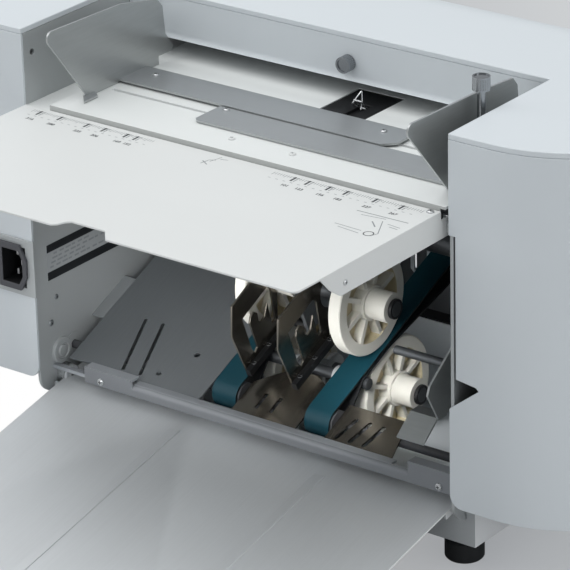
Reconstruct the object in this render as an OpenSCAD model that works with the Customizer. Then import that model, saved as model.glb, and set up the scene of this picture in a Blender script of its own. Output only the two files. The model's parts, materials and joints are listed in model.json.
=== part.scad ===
// Desk-top paper folding machine.
// Paper lies on the feed tray and the raised deck, between two side guides, and is pushed back under
// the hood. A knife drives its middle down between two fold rollers. Two sloping belts, each nipped
// between white wheels, carry the folded sheet forward on to the low delivery tray.
// Depths run back from the fronts of the side housings, heights run up from the table.

/* [Case] */
// Width between the inner faces of the two side plates
throat_w = 340; // [320:1:380]
// Width of each side housing, from the side plate's inner face to the outer skin
pod_w = 120; // [110:1:140]
// Depth of the case, without the trays
case_d = 245; // [236:1:280]
// Height of the case top above the table
case_h = 304; // [300:1:330]
// Radius of the front outer corners, seen from above
corner_r = 88; // [60:1:100]
// Radius of the rounded upper rear edge, seen from the side
crown_r = 60; // [40:1:62]
// Thickness of the painted housing skins
skin_t = 2; // [1.5:0.1:3]
// Thickness of the steel side plates
side_t = 2.5; // [2:0.1:4]
// Thickness of the top cap
cap_t = 4; // [3:0.1:6]
// Height of the lower edge of the housings
pod_floor_h = 51; // [48:0.5:54]
// Radius of the lower inner front corners of the housings
pod_lip_r = 9; // [4:0.5:12]
// Depth at which the hood front stands
hood_y = 112.4; // [105:0.1:116]
// Height of the hood's lower edge above the deck
hood_gap = 15.4; // [13:0.1:20]

/* [Base] */
// Half width of the base pan on the right
base_right = 180; // [176:1:190]
// Distance of the feet from the middle of the throat
foot_x = 160; // [140:1:164]
// Depth of the base pan's front face behind the housing fronts
base_y = 14; // [10:0.5:18]
// Height of the feet
foot_h = 18.5; // [14:0.5:22]
// Radius of the feet
foot_r = 13; // [9:0.5:16]
// Sheet thickness of the base pan
pan_t = 2; // [1.5:0.1:3]

/* [Feeding] */
// Height of the deck's upper face
deck_h = 255.3; // [250:0.1:258]
// Step from the deck down to the feed tray
tray_step = 3.3; // [3:0.1:8]
// Reach of the feed tray in front of the housings
tray_reach = 149; // [120:1:170]
// Depth of the finger notch in the tray's front edge
notch_d = 10.5; // [6:0.5:16]
// Height of the tray's side flanges
flange_h = 18.5; // [12:0.5:24]
// Sheet thickness of the tray and the deck
sheet_t = 1.5; // [1:0.1:2]
// Sideways offset of the paper's centre line
paper_x = 8; // [-6:0.5:9]
// Half of the width between the side guides
guide_half = 144; // [135:0.5:144]
// Height of the side guides above the deck
guide_h = 56; // [48:1:58]
// Thickness of the guide plates and their bars
guide_t = 1.5; // [1:0.1:2]
// Depth of the front guide slot
front_slot_y = 46; // [42:0.5:48]
// Depth of the rear guide slot
rear_slot_y = 69.5; // [68:0.5:74]
// Module of the guide racks and their pinion
rack_m = 1; // [0.8:0.1:1.2]
// Teeth of the guide pinion
pinion_z = 18; // [16:1:19]

/* [Delivery] */
// Slope of the belts and the chute plates in degrees
slope = 23.3; // [20:0.1:26]
// Height of the belts' upper face at the aim point
belt_h = 84.8; // [82:0.1:86]
// Depth of the aim point of the belts' upper face
belt_y = 60; // [56:0.5:64]
// Distance between the centres of the two belts
belt_gap = 76.5; // [70:0.5:84]
// Width of each belt
belt_w = 20; // [14:0.5:22]
// Thickness of each belt
belt_t = 1.6; // [1.2:0.1:2.2]
// Radius of the front belt roller
roller_r = 9; // [8.8:0.1:10]
// Radius of the belt drive roller
drive_r = 6.4; // [6:0.1:9]
// Depth of the front belt roller
front_roller_y = 37.6; // [36:0.1:44]
// Depth of the rear belt roller
drive_roller_y = 190; // [184:0.5:196]
// Radius of the white wheels
wheel_r = 36.6; // [33:0.1:37]
// Width of the wheel rims
wheel_w = 9.4; // [7:0.1:10]
// Ribs of each wheel
ribs = 8; // [5:1:12]
// Thickness of the ribs
rib_t = 3.2; // [2:0.1:5]
// Length of the hub that stands out of each wheel
hub_l = 17; // [12:0.1:20]
// Radius of the hub
hub_r = 12; // [10:0.1:13]
// Depth of the upper wheels' axis
upper_wheel_y = 80.3; // [79:0.1:86]
// Depth of the lower wheels' axis
lower_wheel_y = 108.7; // [108:0.1:114]
// Gap between the upper and lower runs of a belt over the lower wheels
run_gap = 1.2; // [1:0.1:4]
// Height of the belts' upper face above the chute plates
belt_proud = 5.7; // [4:0.1:5.9]
// Thickness of the chute plates and fins
steel_t = 1.5; // [1:0.1:2]
// Reach of the delivery tray from its pivot
out_reach = 215.3; // [180:0.1:222]
// Slope of the delivery tray in degrees
out_slope = 12; // [10:0.1:12.5]
// Depth of the delivery tray's pivot
out_pivot_y = 25.6; // [24:0.1:28]
// Height of the delivery tray's pivot
out_pivot_h = 46.5; // [45:0.1:47.5]

/* [Folding] */
// Radius of the fold rollers
fold_r = 16; // [14:0.5:17]
// Opening between the two fold rollers
fold_gap = 4; // [2.5:0.1:5]
// Depth of the fold line
fold_y = 170; // [166:0.5:174]
// Height of the fold rollers' axes
fold_h = 219; // [214:0.5:222]
// Radius of the fold roller journals
journal_r = 6; // [5:0.1:7]
// Travel of the fold knife
knife_travel = 40; // [30:1:40]

/* [Wing guide] */
// Distance of the delivery wing from the right side plate
wing_in = 20; // [14:0.5:40]
// Height of the wing's crease
wing_crease_h = 121.8; // [118:0.1:126]

/* [Hidden] */

$fn = 48;

// Clearance of a shaft in its bearing
run_c = 0.05;
// Clearance between faces that move past each other
move_c = 0.3;
// Small overlap that makes cuts clean
eps = 0.02;

half = throat_w / 2;
out_t = 1.2;
out_lift = 0.2;
front_y = (out_front() - case_d) / 2;
outer_x = half + pod_w;
rail_h = case_h - cap_t;
tray_h = deck_h - tray_step;
apron_h = deck_h + hood_gap;
pan_h = foot_h + pan_t;

function out_front() = out_reach * cos(out_slope) + (out_lift + out_t) * sin(out_slope) - out_pivot_y;
function dir(a) = [cos(a), sin(a)];
function arc(c, r, a0, a1, n = 12) = [for (i = [0 : n]) c + r * dir(a0 + (a1 - a0) * i / n)];

// Everything is drawn in depths behind the housing fronts and moved as one
module place() {
    translate([0, front_y, 0]) children();
}

// A shape drawn in the depth and height plane, extruded across the machine from x0 to x1
module across(x0, x1) {
    translate([x0, 0, 0])
        rotate([90, 0, 90])
            linear_extrude(x1 - x0)
                children();
}

// A cylinder across the machine, centred at a depth and a height
module bar(x0, x1, y, z, r) {
    translate([x0, y, z])
        rotate([0, 90, 0])
            cylinder(r = r, h = x1 - x0);
}

module box(x0, x1, y0, y1, z0, z1) {
    translate([x0, y0, z0])
        cube([x1 - x0, y1 - y0, z1 - z0]);
}

module both_sides() {
    children();
    mirror([1, 0, 0]) children();
}

// ---------- gears ----------
// Involute gear outline with a tooth centred on the first axis
function inv(a) = tan(a) * 180 / PI - a;
function flank(r, rb, half_a, turn) = let(a = acos(min(1, rb / r))) half_a - inv(a) + turn;
module gear_outline(m, z, slack = 0.16) {
    rp = m * z / 2;
    rb = rp * cos(20);
    tip = rp + 0.92 * m;
    root = rp - 1.22 * m;
    half_a = (90 - slack / m * 180 / PI / 2) / z + inv(20);
    low = max(rb, root);
    radii = [for (i = [0 : 4]) low + (tip - low) * i / 4];
    tooth = [for (k = [0 : z - 1]) let(t = k * 360 / z) each concat(
        [root * dir(t - half_a)],
        [for (r = radii) r * dir(t - flank(r, rb, half_a, 0))],
        [for (i = [4 : -1 : 0]) radii[i] * dir(t + flank(radii[i], rb, half_a, 0))],
        [root * dir(t + half_a)])];
    polygon(tooth);
}

// Gear whose axis runs across the machine
module cross_gear(x0, x1, y, z, m, teeth, turn, bore) {
    translate([x0, y, z])
        rotate([90, 0, 90])
            linear_extrude(x1 - x0)
                difference() {
                    rotate(turn) gear_outline(m, teeth);
                    circle(r = bore);
                }
}

// ---------- case ----------
// Plan of one housing, grown inwards by inset, on the right-hand side
module pod_plan(x0, inset) {
    r = corner_r - inset;
    back_r = 20 - inset;
    x1 = outer_x - inset;
    y1 = case_d - inset;
    union() {
        translate([x0, inset]) square([x1 - r - x0, y1 - inset]);
        translate([x0, corner_r]) square([x1 - x0, y1 - back_r - corner_r]);
        translate([x1 - r, corner_r]) circle(r = r, $fn = 96);
        translate([x0, y1 - back_r - 1]) square([x1 - back_r - x0, back_r + 1]);
        translate([x1 - back_r, y1 - back_r]) circle(r = back_r);
    }
}

// Side view of the case under the cap, grown inwards by inset
module crown_side(inset, low) {
    r = crown_r - inset;
    top = case_h - inset;
    back = case_d - inset;
    translate([-20, low]) square([back - r + 20, top - low]);
    translate([-20, low]) square([back + 20, top - r - low]);
    translate([back - r, top - r]) circle(r = r, $fn = 96);
}

relief_top = case_h - 67;
relief_low = case_h - 163;
relief_w = 5;
notch_tip = 22;
notch_low = case_h - 185;

module housing(relief) {
    difference() {
        intersection() {
            translate([0, 0, pod_floor_h])
                linear_extrude(case_h - pod_floor_h)
                    difference() {
                        pod_plan(half, 0);
                        pod_plan(half + side_t, skin_t);
                        translate([half - 1, skin_t]) square([side_t + 1, case_d]);
                    }
            across(half - 1, outer_x + 1)
                union() {
                    crown_side(cap_t, pod_floor_h - 1);
                    translate([-1, pod_floor_h - 1]) square([case_d + 2, case_h - crown_r - pod_floor_h + 1]);
                }
        }
        // rounded lower inner corner of the front
        translate([half, 0, pod_floor_h])
            rotate([90, 0, 0])
                translate([0, 0, -skin_t - 1])
                    linear_extrude(skin_t + 2)
                        difference() {
                            translate([-1, -1]) square(pod_lip_r + 1);
                            translate([pod_lip_r, pod_lip_r]) circle(r = pod_lip_r);
                        }
        if (!relief) {
            // opening for the power inlet
            box(-inlet_x - inlet_w / 2 + 2, -inlet_x + inlet_w / 2 - 2, -1, skin_t + 1,
                inlet_h - inlet_tall / 2 + 2, inlet_h + inlet_tall / 2 - 2);
        }
        if (relief) {
            box(half - 1, half + relief_w, -1, skin_t + 1, relief_low, relief_top);
            rotate([90, 0, 0])
                translate([0, 0, -skin_t - 1])
                    linear_extrude(skin_t + 2)
                        polygon([[half - 1, notch_low], [half + notch_tip, relief_low - 4],
                            [half + notch_tip - 2, relief_low - 2], [half + relief_w, relief_low + eps],
                            [half - 1, relief_low + eps]]);
        }
    }
    // floor of the housing, inside its skin
    translate([0, 0, pod_floor_h])
        linear_extrude(skin_t)
            intersection() {
                pod_plan(half + side_t + move_c, skin_t - eps);
                translate([half + 12, 0]) square([pod_w, case_d]);
            }
}

module right_housing() {
    place() color("gainsboro") housing(true);
}

module left_housing() {
    place() color("gainsboro") mirror([1, 0, 0]) housing(false);
}

// Cap over both housings and the fold unit, with the curved rear edge
module top_cover() {
    place()
        color("whitesmoke")
            intersection() {
                translate([0, 0, 100])
                    linear_extrude(case_h)
                        difference() {
                            union() {
                                both_sides() pod_plan(-1, 0);
                            }
                            translate([-half, -1]) square([throat_w, hood_y + 1]);
                        }
                difference() {
                    across(-outer_x, outer_x) crown_side(0, 200);
                    across(-outer_x - 1, outer_x + 1) crown_side(cap_t, 199);
                    box(-outer_x, outer_x, -1, case_d + 1, 100, case_h - crown_r);
                }
            }
}

// Front of the hood, folded from sheet, with a return flange along its lower edge
module hood_apron() {
    place()
        color("lightgrey")
            difference() {
                across(-half + move_c, half - move_c)
                    polygon([[hood_y, apron_h], [hood_y + 12, apron_h], [hood_y + 12, apron_h + sheet_t],
                        [hood_y + sheet_t, apron_h + sheet_t], [hood_y + sheet_t, rail_h], [hood_y, rail_h]]);
                translate([knob_x, hood_y - 1, knob_h])
                    rotate([-90, 0, 0])
                        cylinder(r = knob_stem_r + run_c, h = 4);
            }
}

// Back of the fold unit between the housings, with cooling louvres
module rear_panel() {
    low = pod_floor_h;
    high = case_h - crown_r;
    place()
        color("gainsboro")
            difference() {
                box(-half - side_t, half + side_t, case_d - skin_t, case_d, low, high);
                for (i = [-5 : 5])
                    translate([i * 14 - 2, case_d - skin_t - 1, low + 30]) cube([4, skin_t + 2, 46]);
            }
}

// Steel side plate that carries every shaft; its foot stands in the base pan
ear_out = 14;

module side_plate_outline() {
    difference() {
        intersection() {
            union() {
                translate([skin_t, pod_floor_h]) square([case_d - 2 * skin_t, rail_h - pod_floor_h]);
                translate([base_y + pan_t + 0.5, pan_h]) square([base_d - 2 * pan_t - 1, pod_floor_h - pan_h + eps]);
                // rounded ear round the tray's pivot
                intersection() {
                    translate([skin_t + ear_out, pod_floor_h]) circle(r = ear_out);
                    translate([0, 0]) square([base_y + pan_t + 1, pod_floor_h + 5]);
                    translate([skin_t, out_pivot_h - 9]) square([60, 60]);
                }
            }
            crown_side(cap_t, 0);
        }
        for (h = [[fold_front_y, fold_h], [fold_back_y, fold_h], [drive_roller_y, drive_roller_h], [lift_y, lift_h]])
            translate(h) circle(r = bearing_r);
        translate([front_roller_y, front_roller_h]) circle(r = bearing_r - 3);
        translate([10.4, case_h - 19]) circle(r = 2.2);
    }
}

module right_side_plate() {
    place()
        color("silver")
            across(half, half + side_t)
                difference() {
                    side_plate_outline();
                    translate([wing_rod_y, wing_rod_h]) circle(r = wing_rod_r);
                }
}

module left_side_plate() {
    place()
        color("silver")
            union() {
                across(-half - side_t, -half) side_plate_outline();
                // stub axle of the reduction gear
                bar(mount_x + 1, -half - side_t / 2, idler_y, idler_h, idler_axle_r);
            }
}

base_d = case_d - base_y - 13;
base_front_h = out_pivot_h - (out_pivot_y - base_y) * tan(out_slope) + out_lift - move_c;

// Shallow pan under the side plates; the delivery tray rests on its low front wall
module base_pan() {
    w = half + side_t + pan_t;
    place()
        color("whitesmoke")
            difference() {
                box(-w, base_right, base_y, base_y + base_d, foot_h, pod_floor_h - move_c);
                box(-w + pan_t, base_right - pan_t, base_y + pan_t, base_y + base_d - pan_t, pan_h, case_h);
                box(-half - 1, half + 1, base_y - 1, base_y + pan_t + 1, base_front_h, case_h);
                // slots for the ribs of the tray's ears, and for the ear of the side plate
                both_sides()
                    box(out_half - 2 - move_c, out_half + move_c, base_y - 1, base_y + pan_t + 1,
                        base_front_h - (ear_r - 3) / cos(out_slope) - out_lift, case_h);
                box(half - 1, half + side_t + move_c, base_y - 1, base_y + pan_t + 1,
                    out_pivot_h - 9 - move_c, case_h);
                // low front part of the left wall, beside the tray's pivot
                box(-w - 1, -half + 1, base_y - 1, base_y + 36, out_pivot_h - 10, case_h);
            }
}

foot_front_y = base_y + 17;
foot_back_y = base_y + base_d - 17;

module feet() {
    place()
        color([0.1, 0.1, 0.1])
            for (x = [-foot_x, foot_x], y = [foot_front_y, foot_back_y])
                translate([x, y, 0])
                    rotate_extrude()
                        polygon([[0, 0], [foot_r - 1.5, 0], [foot_r, 1.5], [foot_r, foot_h - 5],
                            [foot_r - 1.5, foot_h - 4], [5, foot_h - 4], [5, foot_h], [0, foot_h]]);
}

// ---------- power inlet ----------
inlet_x = -half - 15.8;
inlet_h = case_h - 171.9;
inlet_w = 24.5;
inlet_tall = 33.2;
plate_out = 1.5;

module inlet_plate() {
    place()
        color("silver")
            difference() {
                box(-half - 36, -half + 2, -plate_out, -0.0, inlet_h - 20.5, inlet_h + 20.5);
                box(inlet_x - inlet_w / 2 + 2, inlet_x + inlet_w / 2 - 2, -plate_out - 1, 1,
                    inlet_h - inlet_tall / 2 + 2, inlet_h + inlet_tall / 2 - 2);
            }
}

// Outline of the inlet with the two cut corners of an earthed connector
module inlet_shape(w, t, cut) {
    polygon([[-w / 2, -t / 2], [w / 2 - cut * 0.55, -t / 2], [w / 2, -t / 2 + cut], [w / 2, t / 2 - cut],
        [w / 2 - cut * 0.55, t / 2], [-w / 2, t / 2]]);
}

module power_inlet() {
    place()
        color([0.25, 0.25, 0.27])
            translate([inlet_x, -plate_out, inlet_h])
                rotate([90, 0, 0]) {
                    linear_extrude(2)
                        difference() {
                            inlet_shape(inlet_w, inlet_tall, 10);
                            inlet_shape(inlet_w - 7, inlet_tall - 9, 6);
                        }
                    translate([0, 0, -20])
                        linear_extrude(20)
                            difference() {
                                inlet_shape(inlet_w - 4.6, inlet_tall - 4.6, 8);
                                inlet_shape(inlet_w - 7, inlet_tall - 9, 6);
                            }
                    translate([0, 0, -22])
                        linear_extrude(2)
                            inlet_shape(inlet_w - 4.6, inlet_tall - 4.6, 8);
                }
}

module inlet_pins() {
    place()
        color("khaki")
            for (i = [-1 : 1])
                translate([inlet_x + (i == 0 ? 2 : -2) - 0.9, 20 - plate_out - 14, inlet_h + i * 7 - 2])
                    cube([1.8, 14, 4]);
}

// ---------- feed tray and deck ----------
tray_left = -half + 2;
tray_right = half - 4.7;
flange_front = 125.6;

module feed_tray() {
    place() color("whitesmoke") {
        difference() {
            translate([0, 0, tray_h - sheet_t])
                linear_extrude(sheet_t)
                    union() {
                        polygon(concat(
                            [[tray_left, -0.5], [tray_left, -tray_reach + 6]],
                            arc([tray_left + 6, -tray_reach + 6], 6, 180, 270, 6),
                            [[paper_x - 29, -tray_reach], [paper_x - 26, -tray_reach + notch_d * 0.25],
                                [paper_x - 24, -tray_reach + notch_d * 0.75],
                                [paper_x - 21, -tray_reach + notch_d], [paper_x + 5, -tray_reach + notch_d],
                                [paper_x + 14, -tray_reach]],
                            arc([tray_right - 5, -tray_reach + 5], 5, 270, 360, 6),
                            [[tray_right, -0.5]]));
                    }
        }
        for (x = [tray_left, tray_right - sheet_t])
            across(x, x + sheet_t)
                polygon([[-flange_front, tray_h], [-flange_front + 10.5, tray_h - 11.2],
                    [-flange_front + 20.9, tray_h - flange_h], [32, tray_h - flange_h],
                    [32, tray_h - 6], [-0.5, tray_h - 6], [-0.5, tray_h]]);
    }
}

// Blocks that hold the tray's side flanges off the side plates, with their screws
module tray_spacers() {
    place() color("silver") {
        box(tray_right + 0.0, half, 5, 27, tray_h - flange_h + 2, tray_h - 8);
        box(-half, tray_left, 5, 27, tray_h - flange_h + 2, tray_h - 8);
    }
}

module screw_head(r, h) {
    difference() {
        intersection() {
            cylinder(r = r, h = h);
            translate([0, 0, h - 2.2 * r]) sphere(r = 2.2 * r, $fn = 40);
        }
        translate([-r, -0.3, h - 0.45]) cube([2 * r, 0.6, 1]);
    }
}

module case_screws() {
    place() color("silver") {
        // on the tray's flange, its rear corner, the crossbar ends and the left side plate
        translate([tray_right, -100.3, tray_h - 11]) rotate([0, 90, 0]) screw_head(1.8, 1);
        translate([tray_right - 5, -5, tray_h]) screw_head(2.4, 1.2);
        for (p = [[21.6, case_h - 199.7], [15, case_h - 216.9]])
            translate([-half, p[0], p[1]]) rotate([0, 90, 0]) screw_head(2.2, 1.2);
        for (x = [-half + 48, half - 14])
            translate([x, cross_y, cross_low + 3.5]) rotate([90, 0, 0]) screw_head(2.4, 1.2);
        for (x = [paper_x - 18.4, paper_x + 30.1])
            translate([x, 17.7, deck_h]) screw_head(2.4, 1.2);
    }
}

deck_left = -half + 22;
deck_right = half - 2;
deck_back = fold_y - 4;
slot_w = 3;
slot_left = paper_x - guide_half + 4;
slot_right = half - 18;
sensor_x = paper_x + 14;
sensor_w = 36;
sensor_y = 92;

module deck_plate() {
    place() color("whitesmoke") {
        difference() {
            box(deck_left, deck_right, 0, deck_back, deck_h - 2, deck_h);
            for (y = [front_slot_y, rear_slot_y])
                box(slot_left, slot_right, y - slot_w / 2, y + slot_w / 2, deck_h - 3, deck_h + 1);
            box(sensor_x - sensor_w / 2 - move_c, sensor_x + sensor_w / 2 + move_c, sensor_y, sensor_y + 46,
                deck_h - 3, deck_h + 1);
            box(half - 20, half, deck_back - 14, deck_back + 1, deck_h - 3, deck_h + 1);
        }
        box(deck_left, tray_right - sheet_t - move_c, 0, sheet_t, deck_h - 14, deck_h - 2);
        // headed stud on which the guide pinion turns
        translate([paper_x, rack_mid_y, rack_low - 1.7]) cylinder(r = stud_r, h = deck_h - rack_low + 0.5);
        translate([paper_x, rack_mid_y, rack_low - 1.7]) cylinder(r = 3.4, h = 1.4);
        // side ledges that rest on the side plates
        box(-half, deck_left, 1.5, deck_back - 20, tray_h - 3, tray_h - 1.7);
        box(deck_left, deck_left + sheet_t, 1.5, deck_back - 20, tray_h - 3, deck_h - 2);
        box(deck_right - sheet_t, half, 33, deck_back - 30, tray_h - 12, tray_h - 10.5);
        box(deck_right - sheet_t - 1, deck_right - 1, 33, deck_back - 30, tray_h - 12, deck_h - 2);
    }
}

// Continuation of the deck behind the fold line, with the turned-up paper stop
module rear_deck() {
    y0 = fold_y + 4;
    place() color("whitesmoke") {
        box(-half, half - 20, y0, y0 + 46, deck_h - 2, deck_h);
        box(-half, half - 20, y0 + 46 - sheet_t, y0 + 46, deck_h, deck_h + 24);
        box(half - 20, half, y0 + 12, y0 + 46, deck_h - 2, deck_h);
    }
}

module sensor_plate() {
    place()
        color([0.13, 0.14, 0.15])
            difference() {
                box(sensor_x - sensor_w / 2, sensor_x + sensor_w / 2, sensor_y + 0.2, sensor_y + 45.8,
                    deck_h - 4, deck_h - 0.4);
                box(wire_x - 3.4, wire_x + 3.4, wire_y - 6, wire_y + 16, deck_h - 2.4, deck_h + 1);
            }
}

wire_x = sensor_x + 4;
wire_y = sensor_y + 8;

// Bent spring wire that the paper's edge pushes down; it turns on its rear leg
module feeler_wire() {
    r = 0.6;
    place() color("silver") {
        bar(wire_x - 3.2, wire_x + 3.2, wire_y + 12, deck_h - 1.5, r + 0.1);
        for (s = [-1, 1])
            translate([wire_x + s * 2.4, wire_y + 12, deck_h - 1.5])
                rotate([90 - 48, 0, 0])
                    cylinder(r = r, h = 10);
        bar(wire_x - 3.2, wire_x + 3.2, wire_y + 12 - 10 * cos(48), deck_h - 1.5 + 10 * sin(48), r + 0.1);
    }
}

knob_x = paper_x + 6;
knob_h = case_h - 20.5;
knob_stem_r = 2;

module cover_knob() {
    place()
        color("silver")
            translate([knob_x, hood_y, knob_h])
                rotate([90, 0, 0]) {
                    translate([0, 0, 0.3])
                        difference() {
                            cylinder(r = 5.6, h = 7);
                            translate([0, 0, 6.2]) cylinder(r = 4.2, h = 1);
                            for (i = [0 : 23])
                                rotate(i * 15)
                                    translate([5.75, 0, 0.8]) cylinder(r = 0.35, h = 5, $fn = 16);
                        }
                    translate([0, 0, -9]) cylinder(r = knob_stem_r, h = 9.4);
                }
}

// ---------- side guides ----------
bar1_h = deck_h + 1.5;
bar2_h = deck_h + 0.5;
left_x = paper_x - guide_half;
right_x = paper_x + guide_half;
bar1_l = 222;
bar2_l = 202;

// Guide plate seen from the side: leaning front edge, rounded top corner, lower edge lifted at the back
module guide_side(front, drop, back, foot, lift_from, low) {
    top = deck_h + guide_h;
    polygon(concat(
        [[foot, deck_h + low], [lift_from, deck_h + low], [lift_from, deck_h + 6], [back + 6, deck_h + 6],
            [back + 8, deck_h + 9], [back, deck_h + 20], [back - 2, top - drop - 6],
            [back - 7, top - drop], [back - 45, top - 2]],
        arc([front + 5, top - 5], 5, 95, 215, 8)));
}

module guide_bar(x0, x1, y0, y1, z, cut) {
    translate([0, 0, z])
        linear_extrude(guide_t)
            polygon([[x0, y0], [x1 - cut, y0], [x1, y0 + cut], [x1, y1], [x0, y1]]);
}

module guide_screws(xs, y, z) {
    for (x = xs) translate([x, y, z]) screw_head(2.2, 0.9);
}

module left_guide() {
    place() color([0.5, 0.52, 0.52]) {
        across(left_x - guide_t, left_x) guide_side(-12.5, 10, 108, 25, 100, 0.3);
        guide_bar(left_x - guide_t, left_x + bar1_l, 57.5, 87, bar1_h, 8);
        // short foot turned in over the deck
        translate([0, 0, deck_h + 0.3])
            linear_extrude(guide_t)
                polygon([[left_x - guide_t, 22], [left_x + 6, 14], [left_x + 6, 28], [left_x - guide_t, 34]]);
        guide_screws([left_x + 16.2, left_x + bar1_l - 18.7], 76.3, bar1_h + guide_t);
    }
}

module right_guide() {
    place() color([0.6, 0.62, 0.63]) {
        across(right_x, right_x + guide_t) guide_side(-18, 5, 103, 24, 56.8, 0.5);
        mirror([1, 0, 0]) guide_bar(-right_x - guide_t, -right_x + bar2_l, 28, 56.8, bar2_h, 3);
        guide_screws([right_x - bar2_l + 8], 52.8, bar2_h + guide_t);
        // ear that takes the clamping post
        box(right_x, post_x + 5, post_y - 6, post_y + 6, bar2_h, bar2_h + guide_t);
    }
}

rack_r = rack_m * pinion_z / 2;
stud_r = 1.6;
rack_mid_y = (front_slot_y + rear_slot_y) / 2;
rack_low = deck_h - 12;
rack_high = deck_h - 3;
rack_l = 120;

// Rack with teeth towards the pinion, drawn for a pitch line at zero and teeth towards +y
module rack_outline(n, depth) {
    p = PI * rack_m;
    a = 0.25 * p - 0.12;
    t = tan(20) * rack_m;
    polygon(concat(
        [[-n * p / 2, -depth], [-n * p / 2, -1.22 * rack_m]],
        [for (k = [-n / 2 : n / 2 - 1]) let(c = (k + 0.5) * p) each [[c - a - 1.22 * t, -1.22 * rack_m],
            [c - a + 0.92 * t, 0.92 * rack_m], [c + a - 0.92 * t, 0.92 * rack_m],
            [c + a + 1.22 * t, -1.22 * rack_m]]],
        [[n * p / 2, -1.22 * rack_m], [n * p / 2, -depth]]));
}

rack_teeth = 2 * round(rack_l / (2 * PI * rack_m));

module stud(x, y, z1) {
    translate([x, y, rack_high - 1]) cylinder(r = 1.2, h = z1 - rack_high + 1);
}

// Racks sit below the deck and hang from the guide bars by studs through the slots
module left_rack() {
    y = rack_mid_y + rack_r;
    place() color("dimgrey") {
        translate([paper_x - 20 + rack_shift, y, rack_low])
            linear_extrude(rack_high - rack_low)
                mirror([0, 1, 0]) rack_outline(rack_teeth, rear_slot_y - y + 4);
        for (x = [paper_x - 20 - 40, paper_x - 20 + 40]) stud(x, rear_slot_y, bar1_h);
    }
}

module right_rack() {
    y = rack_mid_y - rack_r;
    place() color("dimgrey") {
        translate([paper_x + 20 - rack_shift, y, rack_low])
            linear_extrude(rack_high - rack_low)
                rack_outline(rack_teeth, y - front_slot_y + 4);
        for (x = [paper_x + 20 - 40, paper_x + 20 + 40]) stud(x, front_slot_y, bar2_h);
    }
}

// The racks are moved to the nearest whole tooth so that a gap faces a tooth of the pinion
rack_shift = let(p = PI * rack_m) 20 - round(20 / p) * p;

module guide_pinion() {
    place()
        color("ivory")
            translate([paper_x, rack_mid_y, rack_low + 1]) {
                difference() {
                    union() {
                        linear_extrude(rack_high - rack_low - 2)
                            rotate(90) gear_outline(rack_m, pinion_z);
                        cylinder(r = 3.4, h = deck_h - 3 - rack_low - move_c);
                        translate([0, 0, -1]) cylinder(r = 3.4, h = 1.5);
                    }
                    translate([0, 0, -2]) cylinder(r = stud_r + run_c, h = 20);
                }
            }
}

post_x = right_x + 8;
post_y = front_slot_y + 5;
post_top = case_h + 10;

module guide_post() {
    place() color("silver") {
        translate([post_x, post_y, bar2_h + guide_t]) cylinder(r = 2.7, h = post_top - bar2_h - guide_t);
        translate([post_x, post_y, bar2_h + guide_t]) cylinder(r = 4.4, h = 2);
        translate([post_x, post_y, post_top - 1]) cylinder(r = 1.6, h = 3.4);
    }
}

module guide_thumbscrew() {
    place()
        color([0.6, 0.58, 0.55])
            translate([post_x, post_y, post_top + 0.3])
                difference() {
                    cylinder(r = 5.7, h = 9);
                    translate([0, 0, -1]) cylinder(r = 1.6 + run_c, h = 3.6);
                    translate([0, 0, 8.4]) cylinder(r = 4.6, h = 2);
                    for (i = [0 : 23])
                        rotate(i * 15) translate([5.85, 0, 1]) cylinder(r = 0.35, h = 7, $fn = 16);
                }
}

// ---------- delivery ----------
cross_y = 8;
cross_low = case_h - 249.5;
cross_high = case_h - 241.5;
flange_d = 9;

cross_left = -half + 34;
step_left = -half + 75;
step_right = half - 38;

// Folded channel in front of the chute plates, with taller end brackets and a stay to the left side plate
module crossbar() {
    y0 = cross_y;
    place() color([0.62, 0.63, 0.65]) {
        difference() {
            across(step_left, step_right)
                polygon(concat(
                    [[y0, cross_low]], [[y0 + flange_d, cross_low], [y0 + flange_d, cross_low + 1.5],
                    [y0 + 1.5, cross_low + 1.5], [y0 + 1.5, cross_high - 3]],
                    arc([y0 + 4, cross_high - 4], 2.5, 180, 90, 6),
                    [[y0 + flange_d, cross_high - 1.5], [y0 + flange_d, cross_high], [y0 + 4, cross_high]],
                    arc([y0 + 4, cross_high - 4], 4, 90, 180, 8)));
            box(step_right - 15, step_right - 1, y0 + 3, y0 + 12, cross_high - 2, cross_high + 1);
        }
        for (e = [[cross_left, step_left, 3.5], [step_right, half, 7]]) {
            top = cross_high + e[2];
            box(e[0], e[1], y0, y0 + 1.5, cross_low, top);
            box(e[0], e[1], y0 + 1.5 - eps, y0 + 11, cross_low, cross_low + 1.5);
            box(e[0], e[1], y0 + 1.5 - eps, y0 + 8.5, top - 1.5, top);
        }
        box(half - 1.5, half, y0 + 1.5 - eps, y0 + 20, cross_low + 1.5 - eps, cross_high + 5.6);
        box(-half, cross_left + eps, y0 + 7, y0 + 11, cross_low - 1, cross_low + 1.5);
        box(cross_left, cross_left + 6, y0 + 7, y0 + 11, cross_low - 1, cross_low + 1);
    }
}

left_belt_x = paper_x - 0.75 - belt_gap / 2;
right_belt_x = left_belt_x + belt_gap;
function belt_z(y) = belt_h + (y - belt_y) * tan(slope);
front_belt_r = roller_r + move_c + belt_t;
drive_belt_r = drive_r + move_c + belt_t;
front_roller_h = belt_z(front_roller_y) - front_belt_r / cos(slope);
drive_roller_h = belt_z(drive_roller_y) - drive_belt_r / cos(slope);
upper_wheel_h = belt_z(upper_wheel_y) + (wheel_r + move_c) / cos(slope);
lower_wheel_h = belt_z(lower_wheel_y) - (2 * belt_t + run_gap + move_c + wheel_r) / cos(slope);
chute_drop = belt_proud / cos(slope);
function chute_z(y) = belt_z(y) - chute_drop;

snub_y = 70;
snub_r = 4;
snub_h = belt_z(snub_y) - (2 * belt_t + run_gap + move_c + snub_r) / cos(slope);

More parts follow.
